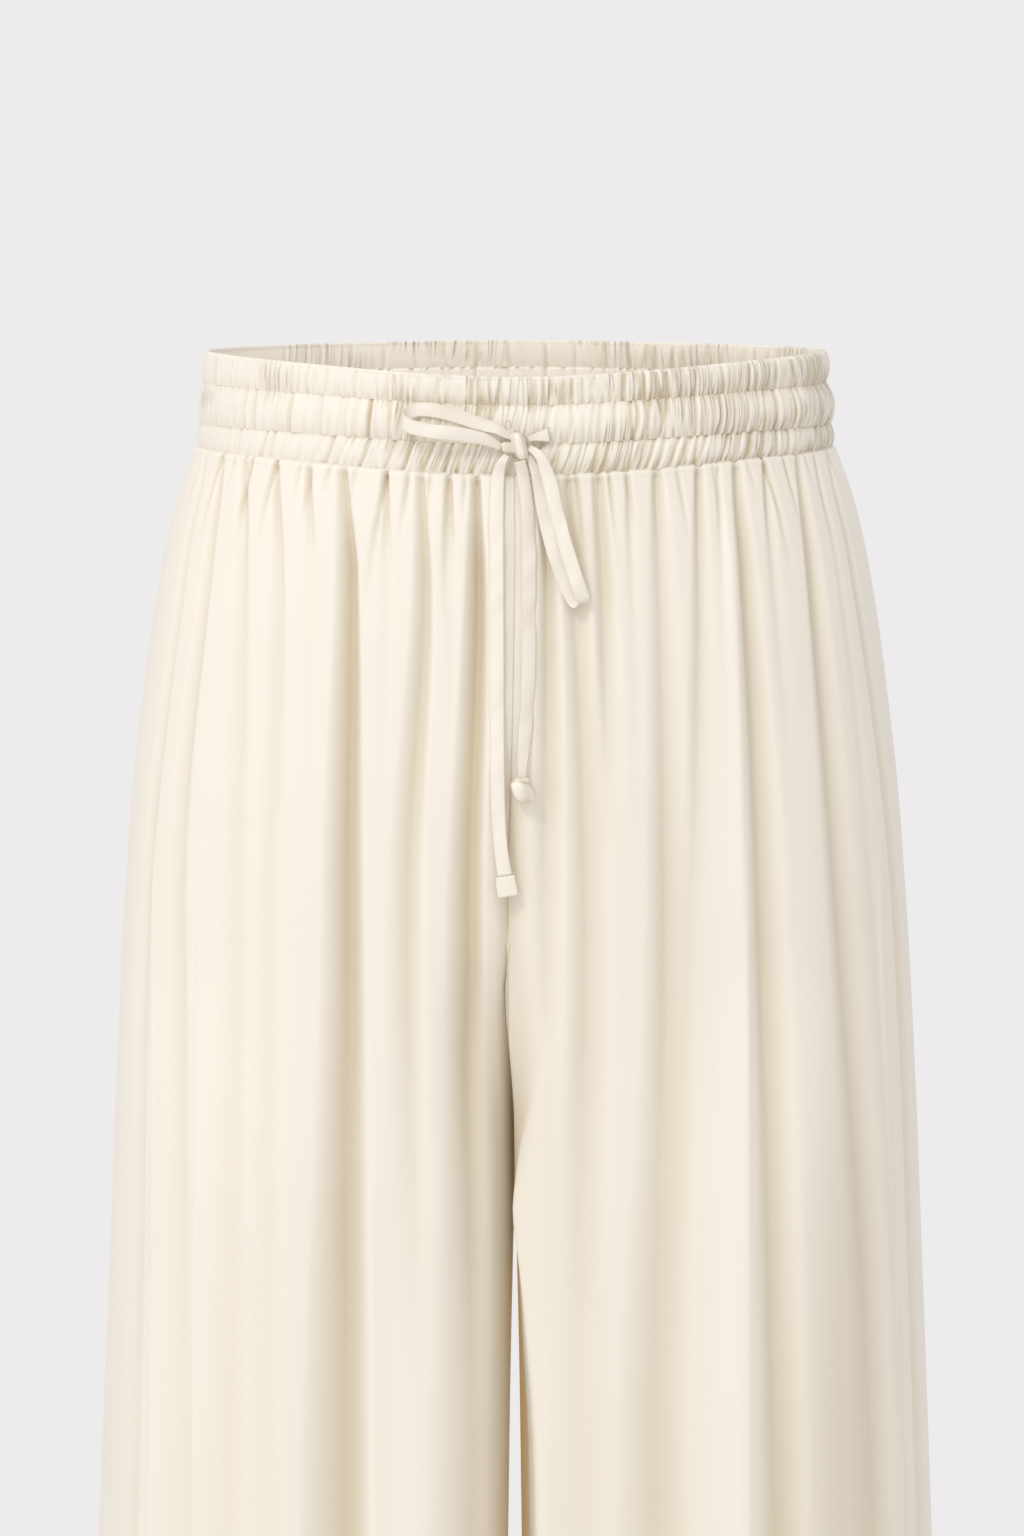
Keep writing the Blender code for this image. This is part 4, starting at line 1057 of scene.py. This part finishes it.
def half_loop(below_rim, face, slanted):
    """The front or back half of a leg's section, from the side seam round to the inseam."""
    width, inner = outline("half_width", below_rim), outline("inner", below_rim)
    middle, half = (width + inner) / 2, (width - inner) / 2
    depth = outline(face, below_rim)
    outer = power_arc(half, depth, LEG_OUTER_POWER, np.linspace(0, math.pi / 2, 200))
    inner_power = SHARP_INNER_POWER if slanted else LEG_INNER_POWER
    inside = power_arc(half, depth, inner_power, np.linspace(math.pi / 2, math.pi, 200))[1:]
    if slanted:
        slant = at_level(INNER_SLANT, "slant", below_rim)
        inside[:, 0] += slant * inside[:, 1] / depth * np.clip(-inside[:, 0] / half, 0, 1) ** 2
    return evenly(np.concatenate([outer, inside]), 2 * SECTION_SAMPLES) + [middle, 0]


def visible_section(below_rim, face, slanted):
    """The section from the side seam to the middle or, on a leg, to the corner of its inner side."""
    width, depth = outline("half_width", below_rim), outline(face, below_rim)
    quarter = np.linspace(0, math.pi / 2, SECTION_SAMPLES)
    trunk = evenly(power_arc(width, depth, outline("trunk_power", below_rim), quarter), SECTION_SAMPLES)
    loop = half_loop(below_rim, face, slanted)
    leg = evenly(loop[: int(CORNER_SHARE * len(loop))], SECTION_SAMPLES)
    share = smooth_step((below_rim - CROTCH_CURVE_START) / (LEG_FORMED - CROTCH_CURVE_START))
    return trunk * (1 - share) + leg * share


def at_places(from_middle, line, along):
    """How far along the section these distances from the middle lie."""
    return np.interp(-from_middle, -line[:, 0], along)


def long_folds(panel, side, below_rim, line, along, at):
    """How deep the long folds are at these places, and their mean depth at this level."""
    rows = np.array(FOLDS[panel]) / 1000
    widen = outline("half_width", OUTSEAM) / outline("half_width", KNEE)
    places = np.concatenate([rows[:, :1], rows[:, :4], rows[:, 3:4] * widen], axis=1)
    deep = np.concatenate([rows[:, 4:5], rows[:, 4:8], rows[:, 7:8] * HEM_FULLNESS], axis=1)
    places[:, 1] += FIRST_SHARE * (places[:, 2] - places[:, 1])
    if panel == "back" and side < 0:
        deep = deep * (1 + RIGHT_BACK_UNEVEN * np.sin(places * 75))
        places = places + RIGHT_BACK_SHIFT * np.sin(places * 40)
    x = np.array([eased(FOLD_LEVELS, p, below_rim) for p in places])
    x = x + line[-1, 0] * np.exp(-x / MOVED_WITHIN)
    spread = eased(FOLD_LEVELS, FOLD_SPREAD, below_rim)
    if panel != "back":
        x = x + side * SHADE_SHIFT * spread
    depth = np.array([eased(FOLD_LEVELS, d, below_rim) for d in deep])
    reach = rows[:, 8] * spread
    # The wall on the wearer's right rolls over and dives in, and the other swings gently out
    across = -side * (at[:, None] - at_places(x, line, along)[None])
    lower = smooth_step((below_rim - 0.25) / 0.30)
    right_reach, left_reach = (1.00 + 0.45 * lower, 0.75) if side < 0 else (0.75 + 0.35 * lower, 1.15)
    t_right = np.clip(-across / (right_reach * reach[None]), 0, 1)
    t_left = np.clip(across / (left_reach * reach[None]), 0, 1)
    rolled = (1 - np.sqrt(t_right**2 + 0.01) + 0.1).clip(0, 1) ** (1.6 - 0.4 * lower)
    swung = 0.5 * (1 + np.cos(math.pi * t_left))
    return (depth[None] * np.where(across < 0, rolled, swung)).sum(1), depth.mean()


def short_gathers(panel, below_rim, line, along, at, leans):
    """How deep the short gathers are: pinched at the seam, and gone within a few centimetres."""
    from_middle, deepest, length = np.array(SMALL_GATHERS[panel]).T / 1000
    below_seam = below_rim - BAND_HEIGHT
    small = from_middle * outline("half_width", below_rim) / SEAM_HALF_WIDTH + leans * below_seam
    reach = SMALL_GATHER_REACH * (0.75 + 12 * below_seam)
    t = np.clip(np.abs(at[:, None] - at_places(small, line, along)[None]) / reach, 0, 1)
    fade = deepest * (1 - smooth_step(below_seam / (1.3 * length)))
    return (fade[None] * (1 - t) ** 1.5).sum(1)


def pressed_lines(panel, below_rim, line, along, at):
    """How high the thin pressed lines stand."""
    pressed = np.zeros_like(at)
    for line_x in np.array(PRESSED_LINES[panel]) / 1000:
        pressed_at = at_places(eased(FOLD_LEVELS[-3:], line_x, below_rim), line, along)
        pressed += PRESSED_HIGH * np.clip(1 - np.abs(at - pressed_at) / PRESSED_REACH, 0, 1)
    return pressed * smooth_step((below_rim - PRESSED_FROM) / 0.12)


def drawn_in(panel, below_rim, from_inner):
    """How far the crotch seam draws the cloth in, and the one leg rolls in behind the other."""
    drawn = at_level(DRAWN_IN, panel, below_rim) * (1 - smooth_step(from_inner / DRAWN_REACH[panel]))
    if panel == "front_right":
        levels, rolled_in, rolled_reach = np.array(ROLLED_IN["rows"]).T
        near = np.clip(1 - from_inner / eased(levels, rolled_reach, below_rim), 0, 1) ** 2
        drawn = drawn + eased(levels, rolled_in, below_rim) * near
    return drawn


def folded(panel, side, face, below_rim, count, leans):
    """A panel's outer points at a level, evenly spaced from the side seam, their run and shade."""
    line = visible_section(below_rim, face, panel == "front_left")
    slope = np.gradient(line, axis=0)
    normal = unit(np.stack([slope[:, 1], -slope[:, 0]], axis=1))
    along = lengths_along(line)
    at = np.linspace(0, along[-1], count)
    below_seam = below_rim - BAND_HEIGHT
    trough, mean_depth = long_folds(panel, side, below_rim, line, along, at)
    gathered = short_gathers(panel, below_rim, line, along, at, leans)
    # The band holds the cloth at the seam, so the folds deepen just below it
    trough = (trough + gathered) * (0.50 + 0.50 * smooth_step(below_seam / HELD_BY_BAND))
    pressed = pressed_lines(panel, below_rim, line, along, at)
    # The hem is turned up twice, so it is thicker, with small puckers along its stitches
    hem = HEM_STEP * smooth_step((below_rim - HEM_LINE) / 0.0012)
    pucker = HEM_PUCKER * np.sin(at * HEM_PUCKER_TURNS)
    hem = hem + pucker * bell((below_rim - HEM_LINE) / 0.004)
    # Slow, slight waves of the hanging cloth
    waves = HANGING_WAVE * np.sin(at * 74 + below_rim * 5 + side) * np.sin(below_rim * 13 + at * 9)
    edge = smooth_step(at / FLAT_AT_SIDE) * smooth_step((along[-1] - at) / FLAT_AT_MIDDLE)
    # The seams pull the edges in a little, but the front one lies flat behind the drawstring
    shown = smooth_step((below_rim - GROOVE_SHOWS_BELOW) / 0.05) if face == "front" else 1.0
    at_middle = (0.25 + 0.75 * shown) * bell((along[-1] - at) / PINCH_REACH)
    pinch = SEAM_PINCH * (bell(at / PINCH_REACH) + at_middle)
    groove = MIDDLE_GROOVE * bell((along[-1] - at) / MIDDLE_GROOVE_REACH) * (face == "front")
    groove *= 0.15 * smooth_step(below_seam / 0.03) + 0.85 * shown
    groove *= smooth_step((GROOVE_END - below_rim) / 0.06)
    offset = (RIDGE_SHARE * mean_depth - trough + waves + pressed) * edge - pinch - groove + hem
    smooth = at_lengths(line, along, at)
    place = smooth + at_lengths(normal, along, at) * offset[:, None]
    from_inner = place[:, 0] - outline("inner", below_rim)
    drawn = drawn_in(panel, below_rim, from_inner)
    place[:, 1] -= drawn
    place[:, 0] = np.maximum(place[:, 0], 0.0)
    if panel == "front_left":
        behind = np.clip(outline(face, below_rim) - smooth[:, 1], 0, None)
        at_edge = np.exp(-np.clip(from_inner, 0, None) / LAP_REACH - (behind / LAP_BEHIND) ** 2)
        place[:, 0] -= at_level(LEG_LAP, "lap", below_rim) * at_edge
    # Painted shade: darker in the folds and gathers, where the crotch seam draws the cloth in, and in the
    # front seam's groove
    shade = (trough + (SMALL_GATHER_SHADE - 1) * gathered) * edge + DRAWN_SHADE * drawn + 2 * groove
    return place, at, np.clip(shade / FULL_FOLD, 0, 1)


def lifted(section, side, face, below_rim):
    """Section points as points in space, on their side of the garment."""
    sign = -1 if face == "front" else 1
    x, y = side * section[:, 0], sign * section[:, 1]
    dip = waist_dip(x, y) * (1 - smooth_step((below_rim - BAND_HEIGHT) / (DIP_ENDS - BAND_HEIGHT)))
    return np.stack([x, y, RIM_Z - below_rim - dip], axis=1)


def leaning(points):
    """The points beside the front seam, moved along with it."""
    in_front = smooth_step((LEAN_BEHIND[1] - points[:, 1]) / (LEAN_BEHIND[1] - LEAN_BEHIND[0]))
    lean = at_level(SEAM_LEAN, "lean", RIM_Z - points[:, 2])
    points[:, 0] -= lean * np.exp(-np.abs(points[:, 0]) / LEAN_REACH) * in_front
    return points


def panel_levels():
    """Close together at the gathers and at the hem, and further apart between, on three exact lines."""
    stops = (
        BAND_HEIGHT, 0.062, 0.090, 0.150, CROTCH_CURVE_START, LEG_FORMED, 0.60, 1.014,
        HEM_LINE - 0.0012, HEM_LINE + 0.0024, OUTSEAM,
    )
    steps = (0.0010, 0.0018, 0.0030, 0.0055, 0.0060, 0.0110, 0.0180, 0.0030, 0.0006, 0.0040)
    levels = [BAND_HEIGHT - TUCKED_UP, BAND_HEIGHT]
    for start, end, step in zip(stops[:-1], stops[1:], steps):
        levels += list(np.linspace(start, end, 1 + max(1, round((end - start) / step)))[1:])
    return levels


def nearest(levels, below_rim):
    """The number of the level that lies nearest to this one."""
    return int(np.argmin(np.abs(np.array(levels) - below_rim)))


def inner_rows(rows, levels, side, face, slanted):
    """The cloth on the inside of the leg, by level: from the crotch seam's curve down to the hem."""
    sign = -1 if face == "front" else 1
    start, formed = nearest(levels, CROTCH_CURVE_START), nearest(levels, LEG_FORMED)
    share = np.linspace(0, 1, INNER_COLUMNS + 1)
    turn = share * math.pi / 2
    seam_y = sign * outline(face, CROTCH_CURVE_START) * np.cos(turn)
    seam_z = RIM_Z - CROTCH_CURVE_START - (RISE - CROTCH_CURVE_START) * np.sin(turn)
    seam = np.stack([np.zeros(len(share)), seam_y, seam_z], axis=1)
    inner = {}
    corner = int(CORNER_SHARE * 2 * SECTION_SAMPLES) - 1
    for k in range(formed, len(levels)):
        loop = half_loop(levels[k], face, slanted)[corner:]
        row = lifted(evenly(loop, INNER_COLUMNS + 1), side, face, levels[k])
        row += (rows[k][-1] - row[0]) * ((1 - share) ** 2)[:, None]
        row[-1, 1] = 0.0
        inner[k] = row
    # Between the seam's curve and the formed leg, a patch that is drawn between its four edges
    bottom, w = inner[formed], share[:, None]
    for k in range(start, formed + 1):
        r = (levels[k] - CROTCH_CURVE_START) / (LEG_FORMED - CROTCH_CURVE_START)
        inseam_level = RISE + (LEG_FORMED - RISE) * r
        inseam = np.array([side * outline("inner", inseam_level), 0.0, RIM_Z - inseam_level])
        corners = (
            (1 - r) * ((1 - w) * seam[0] + w * seam[-1]) + r * ((1 - w) * bottom[0] + w * bottom[-1])
        )
        patch = (1 - r) * seam + r * bottom + (1 - w) * rows[k][-1] + w * inseam - corners
        patch[:, 0] = side * np.maximum(side * patch[:, 0], 0.0)
        patch[-1, 1] = 0.0
        inner[k] = patch
    return inner


def leg_cloth(name, side, face, seed, material, node):
    """One cut panel: the cloth that shows, and the cloth on the inside of the leg."""
    chance = np.random.default_rng(seed)
    panel = "back" if face == "back" else "front_left" if side > 0 else "front_right"
    leans = chance.uniform(-0.05, 0.05, len(SMALL_GATHERS[panel]))
    levels = panel_levels()
    columns = FRONT_PANEL_COLUMNS if face == "front" else BACK_PANEL_COLUMNS
    rows, runs, folds, painted_glows = [], [], [], []
    for below_rim in levels:
        place, run, fold = folded(panel, side, face, max(below_rim, BAND_HEIGHT), columns, leans)
        place *= 1 - TUCKED_IN / 0.12 * (below_rim < BAND_HEIGHT)
        rows.append(lifted(place, side, face, below_rim))
        runs.append(run)
        folds.append(fold)
        painted_glows.append(np.zeros_like(fold))
    for k, hidden in inner_rows(rows, levels, side, face, panel == "front_left").items():
        steps = np.linalg.norm(np.diff(hidden, axis=0), axis=1)
        rows[k] = np.concatenate([rows[k], hidden[1:]])
        runs[k] = np.concatenate([runs[k], runs[k][-1] + np.cumsum(steps)])
        # The hidden cloth inside the leg gets painted light and painted shade: less glow and more shade
        # up at the crotch
        lit = CROTCH_LIGHT + (1 - CROTCH_LIGHT) * smooth_step((levels[k] - RISE) / 0.10)
        inner_shade = 1 + (INNER_PAINTED_SHADE - 1) * lit
        folds[k] = np.concatenate([folds[k], np.full(INNER_COLUMNS, inner_shade)])
        painted_glows[k] = np.concatenate([painted_glows[k], np.full(INNER_COLUMNS, lit)])
    # The back's places on the cloth lie beside the front's
    beside = BACK_CLOTH_BESIDE if face == "back" else 0.0
    points, places, index = [], [], []
    for k, row in enumerate(rows):
        row[0, 1] = 0.0
        index.append(list(range(len(points), len(points) + len(row))))
        points.extend(row)
        places.extend(zip(runs[k] + beside, np.full(len(row), levels[k])))
    faces = []
    outwards = (side > 0) == (face == "back")
    for upper, lower in zip(index[:-1], index[1:]):
        for j in range(min(len(upper), len(lower)) - 1):
            quad = (upper[j], lower[j], lower[j + 1], upper[j + 1])
            faces.append(quad if outwards else quad[::-1])
    shade, painted_glow = np.concatenate(folds), np.concatenate(painted_glows)
    points = leaning(np.array(points))
    cloth = new_piece(name, points, faces, places, shade, material, "satin_cloth", node, painted_glows=painted_glow)
    wall = cloth.modifiers.new("wall", "SOLIDIFY")
    wall.thickness = WALL
    wall.offset = -1
    return cloth, rows[nearest(levels, HEM_LINE)]


# The pale and deep tones of the satin, then the colour of its painted glow
leg_satin = satin("leg_satin", (0.90, 0.85, 0.765), (0.865, 0.81, 0.71), (0.100, 0.072, 0.036))
panels = {}
for name, side, face, seed in (
    ("front_left_leg", 1, "front", 21),
    ("front_right_leg", -1, "front", 22),
    ("back_left_leg", 1, "back", 23),
    ("back_right_leg", -1, "back", 24),
):
    panels[name] = leg_cloth(name + "_cloth", side, face, seed, leg_satin, name)

for leg_name in ("left", "right"):
    front, front_hem = panels[f"front_{leg_name}_leg"]
    back, back_hem = panels[f"back_{leg_name}_leg"]
    loop = np.concatenate([front_hem, back_hem[::-1]])
    starts, ends, _ = row_of_stitches(loop, True)
    outwards = unit((starts - loop.mean(axis=0)) * [1, 1, 0])
    hem_stitches = stitched(leg_name + "_hem_stitches", starts, ends, outwards, thread, "satin_cloth")
